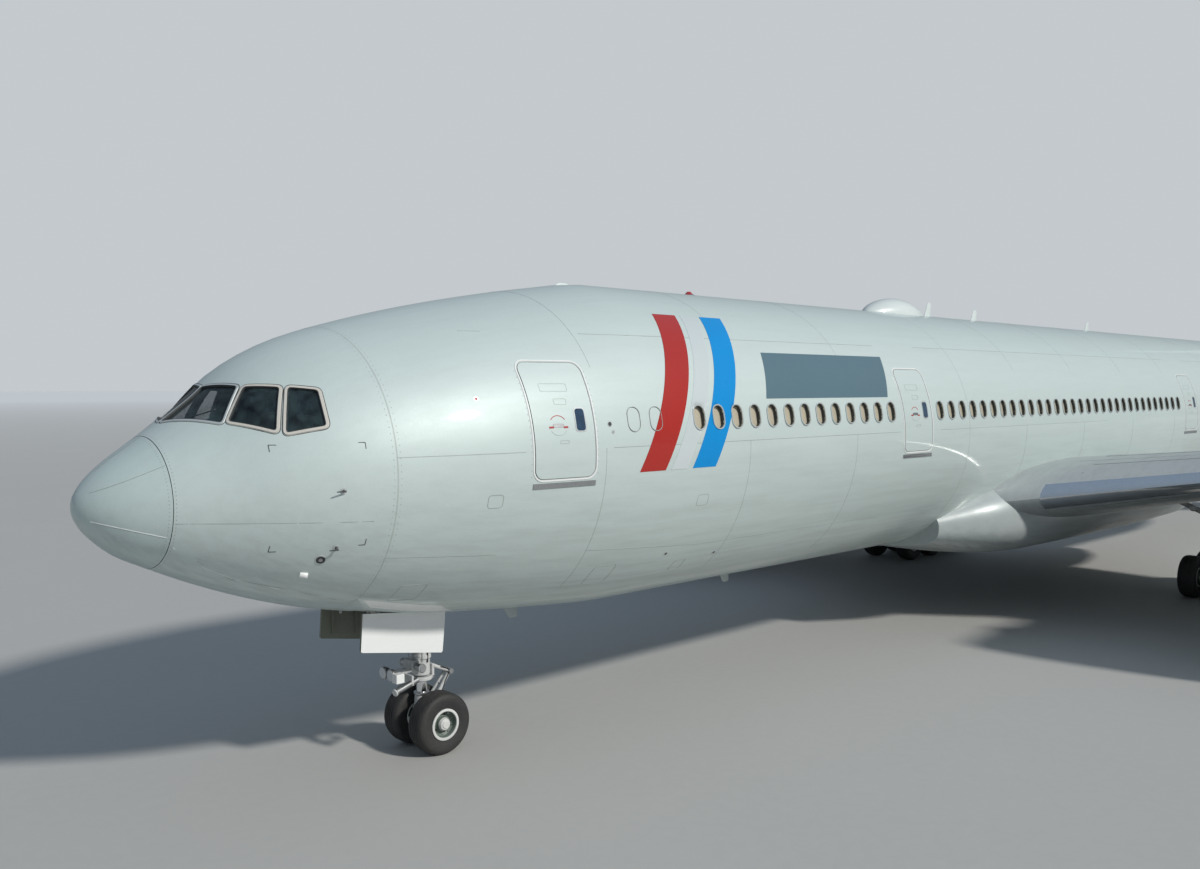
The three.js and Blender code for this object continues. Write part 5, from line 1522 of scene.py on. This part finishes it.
def wheelPair(kind, index, sign, body):
    y, places, tyre, width, rim, apart, axle, stub, bolts, grooves = wheels[kind].values()
    x, y, z = places[index], sign * y, tyre - axisHeight
    shoulder = wheelShape["shoulder"]
    tread = [(groove + along, share - 0.18 * max(0, abs(groove + along) - 0.1) ** 2)
             for groove in grooves for along, share in wheelShape["groove"]]
    section = [(-along, share) for along, share in shoulder[::-1]] + tread + shoulder
    profile = [(along * width, share * tyre) for along, share in section]
    profile += [(0.43 * width, rim * 0.985), (-0.43 * width, rim * 0.985)]
    parts = []
    for face in (-1, 1):
        centre = Vector((x, y + face * apart / 2, z))
        out = Vector((0, face * width, 0))
        parts.append(turned("tyre", [(along * face, radius) for along, radius in profile], centre, 56, tyreRubber,
                            axle="y", closed=True))
        parts.append(turned("rim", [(along * width * face, share * rim) for along, share in wheelShape["disc"]],
                            centre, 56, [rimPaint, discPaint], wheelShape["marks"], axle="y"))
        for ends, across, up, radius, material, corners, count in (
                ((0.19, 0.245), 0, 0.72, 0.013, bareSteel, 6, bolts),
                ((0.18, 0.212), 0.17, 0.53, 0.022, blackRubber, 10, bolts // 2)):
            low, high = (centre + out * end + Vector((rim * across, 0, rim * up)) for end in ends[::face])
            bolt = rod("bolt", low, high, radius, material, sides=corners, bevel=0)
            parts.append(ringed(bolt, centre, count, material, (0.0, 1.0, 0.0)))
        tip, side = centre + out * 0.47, Vector((0, face, 0))
        parts.append(rod("cap", tip - side * 0.02, tip + side * 0.012, rim * 0.24, rimPaint))
        parts.append(rod("axle", (x, y + face * stub, z), centre, axle, bareSteel, sides=32, bevel=0))
    finishJoined(body + "_dressed", parts, "tyre", body, body=body)


def buildNoseGear():
    x, z, elbow, brace = (steered[label] for label in ("x", "axleZ", "elbow", "brace"))
    apexX, apexZ = steered["apex"]
    parts = [
        legRod("sleeve", (x, 0, 0.47), (x, 0, 0.98), 0.15, endRadius=0.122, sides=32),
        legRod("gland", (x, 0, 0.98), (x, 0, 1.03), 0.14, bareSteel, sides=32),
        legRod("piston", (x, 0, 1.03), (x, 0, 1.26), 0.1, chrome, sides=32, bevel=0),
        legRod("collar", (x, 0, 1.24), (x, 0, 1.306), 0.19, sides=32),
        legRod("hub", (steered["axleX"], -0.15, z), (steered["axleX"], 0.15, z), 0.15, sides=32),
        legBox("web", (x - 0.06, -0.1, 0.43), (x + 0.16, 0.1, 0.66), 0.03),
        legBox("lug", (steered["lug"], -0.07, z - 0.06), (x, 0.07, z + 0.06), 0.008),
        legRod("lug_pin", (x - 0.15, -0.1, z), (x - 0.15, 0.1, z), 0.028, bareSteel, sides=16),
        legRod("apex_pin", (apexX, -0.12, apexZ), (apexX, 0.12, apexZ), 0.05, bareSteel),
        legBox("upper_lug", (x + 0.165, -0.09, 1.255), (x + 0.215, 0.09, 1.5)),
        legBox("upper_foot", (x + 0.06, -0.09, 1.25), (x + 0.215, 0.09, 1.3)),
    ]
    for share in (0.35, 0.65):
        crossX, crossZ = x + 0.1 + (apexX - x - 0.1) * share, 0.7 + (apexZ - 0.7) * share
        parts.append(legRod("cross", (crossX, -0.085, crossZ), (crossX, 0.085, crossZ), 0.022, sides=12))
    for side in (-1, 1):
        parts += [
            legRod("lower_link", (x + 0.1, side * 0.1, 0.7), (apexX, side * 0.055, apexZ), 0.04, endRadius=0.03),
            legRod("upper_link", (x + 0.2, side * 0.07, 1.46), (apexX, side * 0.05, apexZ), 0.036, endRadius=0.03),
            hose(0.011, (x + 0.13, side * 0.05, 0.72), (x + 0.3, side * 0.1, 0.86), (x + 0.42, side * 0.1, 1.12),
                 (apexX - 0.03, side * 0.085, apexZ + 0.02), (x + 0.34, side * 0.1, 1.42))]
    finishJoined("nose_gear_steering_dressed", parts, "bare_steel", "nose_gear_steering", body="nose_steering")

    parts = [
        legRod("strut", (x, 0, 1.33), (x, 0, gearBay["top"] + axisHeight - 0.001), 0.15, sides=32),
        legRod("strut_ring", (x, 0, 1.62), (x, 0, 1.7), 0.172, sides=32),
        legRod("strut_ring", (x, 0, 2.3), (x, 0, 2.36), 0.168, sides=32),
        legRod("trunnion", (x, -0.619, 3.35), (x, 0.619, 3.35), 0.11),
        legRod("brace", (x - 0.06, 0, 1.9), (brace, 0, 3.15), 0.075),
        legRod("brace_joint", (elbow, -0.16, 2.525), (elbow, 0.16, 2.525), 0.095, bareSteel),
        legRod("cross_tube", (brace, -0.619, 3.15), (brace, 0.619, 3.15), 0.06),
        legBox("lamp_bar", (x - 0.6, -0.24, 1.43), (x - 0.54, 0.24, 1.48)),
        legBox("valve_box", (x - 0.28, -0.13, 1.40), (x - 0.1, 0.13, 1.64), 0.02),
        legBox("junction_box", (x - 0.76, -0.4, 1.37), (x - 0.6, -0.25, 1.53), material=edgePaint),
        legBox("junction_arm", (x - 0.66, -0.3, 1.43), (x - 0.56, -0.2, 1.47), 0.006),
        legRod("accumulator", (x - 0.74, -0.34, 1.22), (x - 0.26, -0.26, 1.33), 0.056, bareSteel),
        legRod("accumulator_cap", (x - 0.77, -0.345, 1.213), (x - 0.74, -0.34, 1.22), 0.062),
        legBox("accumulator_clip", (x - 0.42, -0.34, 1.27), (x - 0.38, -0.1, 1.44), 0.006),
        legRod("lock_link", (elbow, 0, 2.6), (x, 0, 3.05), 0.035, bareSteel, sides=12),
    ]
    for side in (-1, 1):
        y = side * 0.12
        parts += [
            legRod("steering_barrel", (x - 0.18, side * 0.05, 1.52), (x - 0.18, side * 0.33, 1.52), 0.07,
                   bareSteel),
            legRod("steering_gland", (x - 0.18, side * 0.29, 1.52), (x - 0.18, side * 0.315, 1.52), 0.079),
            legBox("lamp_arm", (x - 0.58, side * 0.1 - 0.02, 1.44), (x - 0.1, side * 0.1 + 0.02, 1.475), 0.006),
            # the lamp cans take the dark lining grey: painted shade, for the hull's shadow that falls on them
            legRod("lamp_can", (x - 0.68, y, 1.46), (x - 0.59, y, 1.46), 0.105, linerGrey, endRadius=0.07),
            legRod("lamp_rim", (x - 0.715, y, 1.46), (x - 0.68, y, 1.46), 0.11, bareSteel, sides=32),
            legRod("lamp_lens", (x - 0.72, y, 1.46), (x - 0.712, y, 1.46), 0.096, lampGlass, sides=32),
            hose(0.012, *((x + along, side * 0.165, up) for along, up in (
                (0.02, 1.57), (0.02, 1.9), (-0.03, 2.4), (0.03, 3.1)))),
            hose(0.009, (x - 0.12, side * 0.2, 1.6), (x - 0.14, side * 0.24, 1.85), (x - 0.06, side * 0.18, 2.0),
                 (x - 0.02, side * 0.17, 2.5), material=bareSteel)]
    finishJoined("nose_gear_leg_dressed", parts, "gear_paint", "nose_gear_leg")
    wheelPair("nose", 0, 1, "nose_wheels")

    # both doors of the nose gear
    edge = [(4.12, 2.74), (5.72, 2.56), (5.705, 2.33), (5.66, 1.87), (5.635, 1.85), (4.1, 2.11), (4.08, 2.13),
            (4.1, 2.44)]
    for sideName, sign in sides.items():
        parts = [slab("panel", [(x, z - axisHeight) for x, z in edge], *sorted((sign * 0.64, sign * 0.685)),
                      [bayPaint, edgePaint], (0, 1, 0) if sign > 0 else (1, 0, 0)),
                 legRod("link", (4.95, sign * 0.63, 2.35), (4.95, sign * 0.3, 2.9), 0.02, bareSteel, sides=12)]
        for x in (4.3, 4.75, 5.2, 5.55):
            (low, high), top = sorted((sign * 0.6, sign * 0.645)), 2.68 - (x - 4.12) * 0.11
            parts.append(legBox("rib", (x - 0.02, low, top - 0.5), (x + 0.02, high, top), 0, bayPaint))
        for x in (4.45, 5.3):
            parts.append(legRod("hinge_arm", (x, sign * 0.62, 2.5), (x, sign * 0.6, 2.86), 0.028, sides=12))
        finishJoined("nose_gear_door_dressed_" + sideName, parts, "white_paint", "nose_gear_door_" + sideName)


def buildGearBay():
    front, back, half, top, _ = gearBay.values()
    parts = []

    def bottom(x):
        return hullPoint(x, -math.acos(half / widthAt(x)), -0.03).z
    for sign in (-1, 1):
        low = [(x, bottom(x)) for x in spread(front, back, 8)]
        parts.append(slab("bay_side", low + [(back, top), (front, top)],
                          *sorted((sign * (half - 0.012), sign * (half + 0.02))), linerGrey))
        for x in spread(front + 0.25, back - 0.25, 5):
            if abs(x - steered["x"]) > 0.14 and abs(x - steered["brace"]) > 0.1:
                inner, outer = sorted((sign * (half - 0.05), sign * (half - 0.01)))
                low, high = (x - 0.02, inner, bottom(x) + 0.03), (x + 0.02, outer, top)
                parts.append(plainBox("frame", low, high, discPaint))
    for x0, x1 in ((front - 0.02, front + 0.012), (back - 0.012, back + 0.02)):
        parts.append(plainBox("bay_end", (x0, -half, bottom(x0) + 0.01), (x1, half, top), linerGrey))
    parts.append(plainBox("bay_top", (front, -half, top), (back, half, top + 0.03), linerGrey))
    finishJoined("nose_gear_bay", parts, "cabin_trim")


def buildMainGear(sideName):
    side, sign = sideName + "_", sides[sideName]
    y, x, beamZ = sign * trunk["y"], trunk["x"], trunk["beamZ"]
    places = wheels["main"]["places"]
    parts = [legRod("beam", (places[0] - 0.06, y, beamZ), (places[2] + 0.06, y, beamZ), 0.13, sides=32),
             legBox("saddle", (x - 0.13, y - 0.16, 0.8), (x + 0.13, y + 0.16, 1.06), 0.03)]
    for index, axleX in enumerate(places):
        parts.append(legRod("hub", (axleX, y - 0.3, beamZ), (axleX, y + 0.3, beamZ), 0.165, sides=32))
        for face in (-1, 1):
            parts.append(legRod("brake", (axleX, y + face * 0.36, beamZ), (axleX, y + face * 0.44, beamZ), 0.24,
                                coreMetal, sides=32))
            parts.append(hose(0.013, *((axleX + along, y + face * across, beamZ + up) for along, across, up in (
                (0, 0.4, 0.2), (0.16, 0.26, 0.24), (0.3, 0.12, 0.14)))))
        if index != 1:
            low, high = (axleX - 0.05, y - 0.06, 0.44), (axleX + 0.05, y + 0.06, 0.52)
            parts.append(legBox("pad", low, high, 0, bareSteel))
    finishJoined(side + "main_bogie_dressed", parts, "gear_paint", side + "main_bogie")

    outer = sorted((y + sign * 0.31, y + sign * 0.35))
    parts = [
        legRod("piston", (x, y, 0.9), (x, y, 1.75), 0.13, chrome, sides=32),
        legRod("gland", (x, y, 1.7), (x, y, 1.8), 0.225, bareSteel, sides=32),
        legRod("cylinder", (x, y, 1.75), (x, y, 3.9), 0.2, endRadius=0.21, sides=32),
        legRod("ring", (x, y, 2.1), (x, y, 2.2), 0.225, sides=32),
        legRod("side_brace", (x, y - sign * 0.06, 2.1), (x - 0.1, sign * 3.3, 3.05), 0.085),
        legRod("side_joint", (x - 0.15, sign * 4.36, 2.575), (x + 0.05, sign * 4.36, 2.575), 0.1, bareSteel),
        legRod("drag_brace", (x - 0.08, y, 2.05), (29.87, y - sign * 0.25, 3.6), 0.08),
        legRod("lower_link", (x + 0.09, y, 1.0), (x + 0.48, y, 1.4), 0.05),
        legRod("upper_link", (x + 0.48, y, 1.4), (x + 0.17, y, 1.85), 0.05),
        legRod("link_pin", (x + 0.48, y - 0.08, 1.4), (x + 0.48, y + 0.08, 1.4), 0.06, bareSteel),
        legRod("trim_jack", (x - 0.17, y, 1.75), (x - 0.6, y, 0.9), 0.05, bareSteel),
        legBox("leg_door", (31.32, outer[0], 1.5), (32.22, outer[1], 3.4), 0.015, fairingPaint),
    ]
    for face in (-1, 1):
        parts.append(hose(0.013, *((x + along, y + face * across, up) for along, across, up in (
            (0.05, 0.22, 3.6), (0.08, 0.235, 2.6), (0.1, 0.24, 1.9), (0.3, 0.16, 1.4), (0.16, 0.2, 1.0)))))
    for z in (1.94, 2.74):
        low, high = sorted((y + sign * 0.15, y + sign * 0.32))
        parts.append(legBox("bracket", (x - 0.06, low, z - 0.04), (x + 0.06, high, z + 0.04)))
    finishJoined(side + "main_gear_leg_dressed", parts, "gear_paint", side + "main_gear_leg")
    for index in range(3):
        wheelPair("main", index, sign, f"{side}main_wheels_{index + 1}")


buildNoseGear()
buildGearBay()
for sideName in sides:
    buildMainGear(sideName)
print("landing gear made")


# Flight deck, seen through its windows

def buildFlightDeck():
    floor, seatX = -0.4, 2.84
    lean = (0.16, "Y")
    boxes = [       # low, high, material, softening, turn
        ((1.75, -1.0, floor - 0.03), (3.6, 1.0, floor), cabinTrim),
        ((1.78, -0.88, floor - 0.01), (2.0, 0.88, 0.34), linerGrey),
        ((1.7, -0.96, 0.3), (2.15, 0.96, 0.375), blackRubber, 0.03),
        ((1.99, -0.19, floor - 0.01), (3.0, 0.19, 0.05), linerGrey, 0.02),
        ((2.2, -0.3, 1.02), (2.75, 0.3, 1.06), linerGrey, 0.01),
        ((3.55, -0.36, floor), (3.572, 0.36, 1.42), linerGrey, 0.008),
        *(((2.0, y - 0.11, 0.02), (2.012, y + 0.11, 0.25), screenGlass, 0.008)
          for y in (-0.62, -0.33, 0.0, 0.33, 0.62)),
        *(((x, -0.05, 0.05), (x + 0.03, 0.05, 0.15), bareSteel, 0.008) for x in (2.15, 2.4, 2.62)),
    ]
    rods = []
    for side in (-1, 1):
        y, x, ledge = side * 0.53, seatX, side * 1.02
        boxes += [
            ((x - 0.14, y - 0.12, floor - 0.01), (x + 0.2, y + 0.12, -0.11), cabinTrim, 0.02),
            ((x - 0.26, y - 0.25, -0.12), (x + 0.3, y + 0.25, 0.03), sheepskin, 0.05),
            ((x + 0.24, y - 0.235, -0.04), (x + 0.4, y + 0.235, 0.68), sheepskin, 0.05, lean),
            ((x + 0.33, y - 0.13, 0.7), (x + 0.45, y + 0.13, 0.9), seatFabric, 0.04, lean),
            ((1.9, ledge - 0.16, floor), (3.5, ledge + 0.16, 0.08), cabinTrim, 0.02),
            *(((x - 0.16, y + arm - 0.03, 0.14), (x + 0.26, y + arm + 0.03, 0.19), cabinTrim, 0.015)
              for arm in (-0.27, 0.27))]
        rods += [
            rod("column", (2.2, y, floor), (2.26, y, 0.12), 0.03, linerGrey),
            rod("yoke", (2.26, y - 0.15, 0.17), (2.26, y + 0.15, 0.17), 0.022, blackRubber),
            *(rod("grip", (2.26, y + grip, 0.12), (2.26, y + grip, 0.28), 0.02, blackRubber)
              for grip in (-0.15, 0.15))]
    ring = [hullPoint(3.6, angle, -0.09) for angle in spread(0, fullTurn, 48)[:-1]]
    wall = prism("rear_wall", *([(x, point.y, point.z) for point in ring] for x in (3.57, 3.6)), cabinTrim)
    finishJoined("flight_deck", [*(plainBox("fitting", *row) for row in boxes), *rods, wall], "cabin_trim",
                 "flight_deck_fit_out")


# Seams, ports, probes, lamps and aerials on the hull

seams = [       # paths of (x, z) on both sides
    [(3.65, 0.08), (5.7, 0.09)], [(6.75, 0.1), (19.5, 0.1)],
    [(3.66, -1.42), (6.9, -1.63), (10.26, -1.85), (19.5, -1.85)], [(19.5, 0.1), (28.0, 0.1)],
    [(38.5, 0.1), (51.0, 0.25)], [(38.5, -1.85), (51.4, -1.2)], [(0.97, -0.77), (3.35, -0.83)],
    [(0.95, -1.09), (1.79, -1.65), (2.46, -1.84), (3.35, -2.13)],
    [(5.3, 2.0), (19.5, 2.05), (38.5, 2.05), (50.5, 2.2)],
]
ringSeams = (7.3, 11.0, 14.6, 22.6, 26.3, 30.0, 33.7, 41.6, 44.9, 48.2)
probes = [(2.91, -0.37), (2.91, -1.20)]      # x, z
cornerMarks = [     # x, z, and the way that the two arms point
    (2.07, 0.29, 1, -1), (3.24, 0.31, -1, -1), (2.08, -1.22, 1, 1), (3.29, -1.18, -1, 1)]
diverters = [       # both ends of each lightning strip on the radome
    ((0.14, -0.35), (0.94, 0.02)), ((0.13, -0.74), (0.91, -0.97)), ((0.3, 0.2), (0.93, 0.52))]
ports = [       # x, z, radius, material
    (2.76, -1.38, 0.068, darkSeam), (2.758, -1.378, 0.03, bareSteel), (7.4, 0.49, 0.035, darkSeam),
    (7.46, 0.36, 0.02, seamPaint), (4.99, 0.92, 0.025, markRed), (9.4, -1.95, 0.03, darkSeam),
    (10.9, -2.1, 0.03, darkSeam)]
hatches = [     # x, z, width, height
    (4.35, -2.1, 0.42, 0.3), (8.0, -2.2, 0.5, 0.36), (10.0, -2.25, 0.3, 0.22), (45.0, -2.1, 0.5, 0.36),
    (5.2, -0.65, 0.26, 0.2), (9.8, -0.95, 0.3, 0.2)]
blades = [      # x, across, height, chord, above
    (9.0, 0.0, 0.055, 0.40, True), (25.6, 0.0, 0.36, 0.36, True), (34.0, 0.0, 0.36, 0.36, True),
    (7.2, -0.6, 0.2, 0.34, False), (13.9, 0.0, 0.3, 0.38, False), (17.2, 0.4, 0.22, 0.3, False),
    (43.5, 0.0, 0.38, 0.42, False)]


def bladeAerial(x, across, height, chord, above):
    base, up = (hullPoint(x, math.pi / 2), Vector((0, 0, 1))) if above else bellySurface(x, across)
    side, rings = up.cross(Vector((1, 0, 0))).normalized(), []
    for share in (0.0, 0.35, 0.7, 0.93, 1.0):
        size = chord * (1 - 0.45 * share) * (0.6 if share == 1.0 else 1)
        middle = base + up * (height * share - 0.02) + Vector((0.32 * height * share, 0, 0))
        rings.append([middle + Vector((size * 0.5 * along, 0, 0)) + side * 0.022 * (1 - 0.5 * share) * out
                      for along, out in circle(12, 0.5)])
    return loftRings("blade_aerial", rings, whitePaint if above else fairingPaint, 50)


def stub(name, point, normal, low, high, radius, material, shift=(0, 0, 0), **options):
    # a bar that stands on the skin
    return rod(name, point + normal * low, point + normal * high + Vector(shift), radius, material, **options)


def buildHullTrim():
    parts = []
    for path in seams:
        points = [point for start, end in zip(path, path[1:])
                  for point in between(start, end, max(2, int((end[0] - start[0]) / 0.35)))] + [path[-1]]
        clear = [[]]
        for x, z in points:
            near = any(abs(x - centre) < 0.75 for centre in doors["centres"])
            if near and clear[-1]:
                clear.append([])
            elif not near:
                clear[-1].append((x, z))
        parts += [sideStrip("seam", run, side, 0.012, 0.002, seamPaint) for side in (-1, 1) for run in clear
                  if len(run) > 1]
    parts += [ringStrip("joint_filler", x, 0.022, 0.0012, jointPaint) for x in (3.65, 19.5, 38.5)]
    parts += [ringStrip("ring_seam", x, 0.01, 0.0016, seamPaint, *arc) for x in ringSeams
              for arc in ((-52, 2), (178, 232), (30, 150))]
    finishJoined("hull_seams", parts, "hull_paint")

    parts = []
    for side in (-1, 1):
        surface = sideSurface(side)
        for place in probes:
            point, normal = surface(*place)
            tip = point + normal * 0.055
            parts += [stub("probe_plate", point, normal, -0.01, 0.006, 0.045, paleSeam, sides=20, bevel=0),
                      stub("probe_foot", point, normal, -0.01, 0.055, 0.022, darkSeam, endRadius=0.014, sides=12),
                      rod("probe", tip + Vector((0.03, 0, 0)), tip + Vector((-0.11, 0, 0)), 0.013, darkSeam,
                          endRadius=0.008, sides=12)]
        for x, z, along, up in cornerMarks:
            for end in ((x + along * 0.09, z), (x, z + up * 0.09)):
                parts.append(sideStrip("corner_mark", [(x, z), end], side, 0.014, 0.003, darkSeam))
        for start, end in diverters:
            parts.append(sideStrip("diverter", between(start, end, 10) + [end], side, 0.011, 0.004,
                                   seamPaint if start[1] > -0.5 else edgePaint))
        for x, z, radius, material in ports:
            point, normal = surface(x, z)
            rise = 0.012 if material is bareSteel else 0.006
            parts += [stub("port", point, normal, -0.005, rise, radius, material, sides=20, bevel=0),
                      stub("port_rim", point, normal, -0.005, 0.003, radius + 0.014, paleSeam, sides=20, bevel=0)]
        parts.append(stub("ice_probe", *surface(2.59, -1.61), -0.01, 0.1, 0.05, edgePaint, (0.12, 0, 0.05),
                          endRadius=0.042, sides=16))
        parts.append(sideStrip("bright_edge", [(1.0, -1.12), (1.45, -1.46), (1.9, -1.68), (2.46, -1.86)], side,
                               0.016, 0.003, edgePaint))
        cover = [(3.75, side * 1.33), (5.22, side * 1.31), (5.77, side * 0.84), (4.06, side * 1.02)]
        parts.append(patch("bay_edge_cover", filledIn(cover[::-side], 0.12), bellySurface, edgePaint))
        for row in hatches:
            parts.append(outlineStrip("hatch", roundedOutline(*row, 0.05), side, 0.012, 0.002, seamPaint))
        parts.append(pipe("wiper", [(1.30, side * 0.16, 0.60), (1.5, side * 0.5, 0.68), (1.72, side * 0.78, 0.78)],
                          0.011, darkSeam))
    finishJoined("hull_ports_and_probes", parts, "bare_steel")

    rows = [onHull(x, angle) for x, count in ((0.905, 110), (0.985, 110), (3.6, 150), (3.7, 150))
            for angle in spread(0, fullTurn, count)[:-1]]
    rows += [sideSurface(side)(centre + shift, z) for side in (-1, 1) for centre in doors["centres"]
             for shift in (-0.66, 0.66) for z in spread(-0.3, 1.45, 18)]
    finishPiece(grown("hull_fasteners", rows, fasteners, seamPaint, {"Seed": 11, "Rise": 0.25, "Variation": 0.2},
                      Radius=0.009), "airframe", "hull_paint")

    parts = [bladeAerial(*row) for row in blades]
    for x, way, lift in ((12.69, 1, 0.0), (27.5, -1, 0.43)):
        point, normal = hullPoint(x, way * math.pi / 2, lift), Vector((0, 0, way))
        parts.append(stub("beacon_foot", point, normal, -0.03, 0.02, 0.14, bareSteel, sides=28))
        parts.append(stub("beacon", point, normal, 0.01, 0.09, 0.1, beaconRed, endRadius=0.055, sides=28,
                          bevel=0.4))
    for y in (-0.9, 0.9):
        parts.append(stub("drain_mast", *bellySurface(46.5, y), -0.01, 0.22, 0.03, fairingPaint, (0.1, 0, 0),
                          sides=12))
    finishJoined("hull_aerials", parts, "white_paint")
    finishJoined("satcom_cover", [
        teardrop("dome", (21.1, 0, 3.04), (1.5, 0.56, 0.48), whitePaint, blunt=0.46, sides=32, rows=28),
        bladeAerial(22.86, 0.0, 0.44, 0.34, True)], "white_paint", "satcom_radome")

    # the outlet and the lamps at the tail's end
    crown, keel = crownAt(63.6), keelAt(63.6)
    centre, along = Vector((63.68, 0, (crown + keel) / 2)), Vector((1, 0, 0))
    parts = [stub("outlet", centre, along, -0.25, 0.02, (crown - keel) / 2 * 0.62, coreMetal, bevel=0)]
    for side in (-1, 1):
        lamp = sideSurface(side)(61.2, crownAt(61.2) * 0.6 + keelAt(61.2) * 0.4)
        parts.append(stub("tail_lamp", *lamp, -0.02, 0.05, 0.06, lampGlass, endRadius=0.04, sides=20))
    finishJoined("tail_end_trim", parts, "bare_steel")


# Livery in plain shapes: three parallel bars and a band

livery = [      # a shape's x at its foot, width, lean, foot and top, material
    (8.06, 0.62, 1.5, -0.34, 2.46, redPaint), (8.82, 0.42, 1.5, -0.34, 2.46, silverPaint),
    (9.38, 0.62, 1.5, -0.34, 2.46, bluePaint), (11.62, 4.33, 0.36, 0.88, 1.78, bandPaint)]


def buildLivery():
    for sideName, side in sides.items():
        parts = []
        for x, width, lean, low, top, material in livery:
            outline = [(x, low), (x + width, low), (x + width + lean, top), (x + lean, top)]
            piece = sidePatch("bar", outline, side, material, lift=0.005, sink=0.003, solid=True)
            near = [row for row in windowPlaces(side) if x - 0.3 < row[0].x < x + width + lean + 0.3]
            if near and low < 0.8:
                cutWith(piece, [windowCutter(near)])
            parts.append(piece)
        finishJoined("livery_" + sideName, parts, "hull_paint")


buildFlightDeck()
buildHullTrim()
buildLivery()
print("flight deck, trim and livery made")


# Floor, light and camera

view = {        # position in real metres above the ground
    "position": (-4.544, -15.457, 6.390), "forward": (0.6849, 0.7272, -0.0451), "up": (0.0309, 0.0328, 0.9990),
    "focalPixels": 1045.42, "imageWidth": 1200, "sensor": 36.0,
}


def buildStage():
    material, tree, shader = newMaterial("studio_floor", Roughness=0.75)
    tone = toned(tree, (0.46, 0.455, 0.44), (0.425, 0.425, 0.415), 0.4, 9.0, 0.5, 0.7)
    # the floor pales towards the backdrop
    away = addNode(tree, "ShaderNodeVectorMath", {0: addNode(tree, "ShaderNodeTexCoord").outputs["Object"]},
                   operation="LENGTH").outputs["Value"]
    feed(tree, shader, {"Base Color": mixed(tree, remapped(tree, away, 30.0, 260.0), tone["Colour"],
                                            (0.73, 0.75, 0.76, 1))})
    points = [realPoint((900 * across, 900 * up, 0)) for across, up in circle(96)]
    floor = newPiece("floor", points, [tuple(range(96))], material)


def buildLight():
    world = bpy.data.worlds.new("studio")
    bpy.context.scene.world = world
    world.use_nodes = True
    tree = world.node_tree
    where = addNode(tree, "ShaderNodeTexCoord").outputs["Generated"]
    height = addNode(tree, "ShaderNodeSeparateXYZ", {0: where}).outputs["Z"]
    ramp = addNode(tree, "ShaderNodeValToRGB", {"Fac": height})
    for end, position, colour in zip(ramp.color_ramp.elements, (0.0, 0.9), ((0.20, 0.225, 0.24, 1),
                                                                           (0.24, 0.31, 0.40, 1))):
        end.position, end.color = position, colour
    seen = addNode(tree, "ShaderNodeLightPath").outputs["Is Camera Ray"]
    feed(tree, tree.nodes["Background"], {"Color": mixed(tree, seen, ramp, (0.55, 0.585, 0.61, 1))})
    key = bpy.data.lights.new("key", "SUN")
    key.energy, key.angle, key.color = 2.8, math.radians(5.0), (1.0, 0.965, 0.91)
    lamp = linked("key", key)
    lamp.rotation_euler = Vector((0.2, -0.79, 0.58)).to_track_quat("Z", "Y").to_euler()


def buildCamera():
    forward = Vector(view["forward"]).normalized()
    right = forward.cross(Vector(view["up"])).normalized()
    turn = Matrix((right, right.cross(forward), -forward)).transposed().to_4x4()
    data = bpy.data.cameras.new("camera")
    data.sensor_width = view["sensor"]
    data.lens = view["focalPixels"] * view["sensor"] / view["imageWidth"]
    data.clip_end = 3000
    camera = linked("camera", data)
    camera.matrix_world = Matrix.Translation(place(*over(*view["position"]))) @ turn
    bpy.context.scene.camera = camera


buildStage()
buildLight()
buildCamera()
bpy.context.scene.view_settings.view_transform = "Standard"
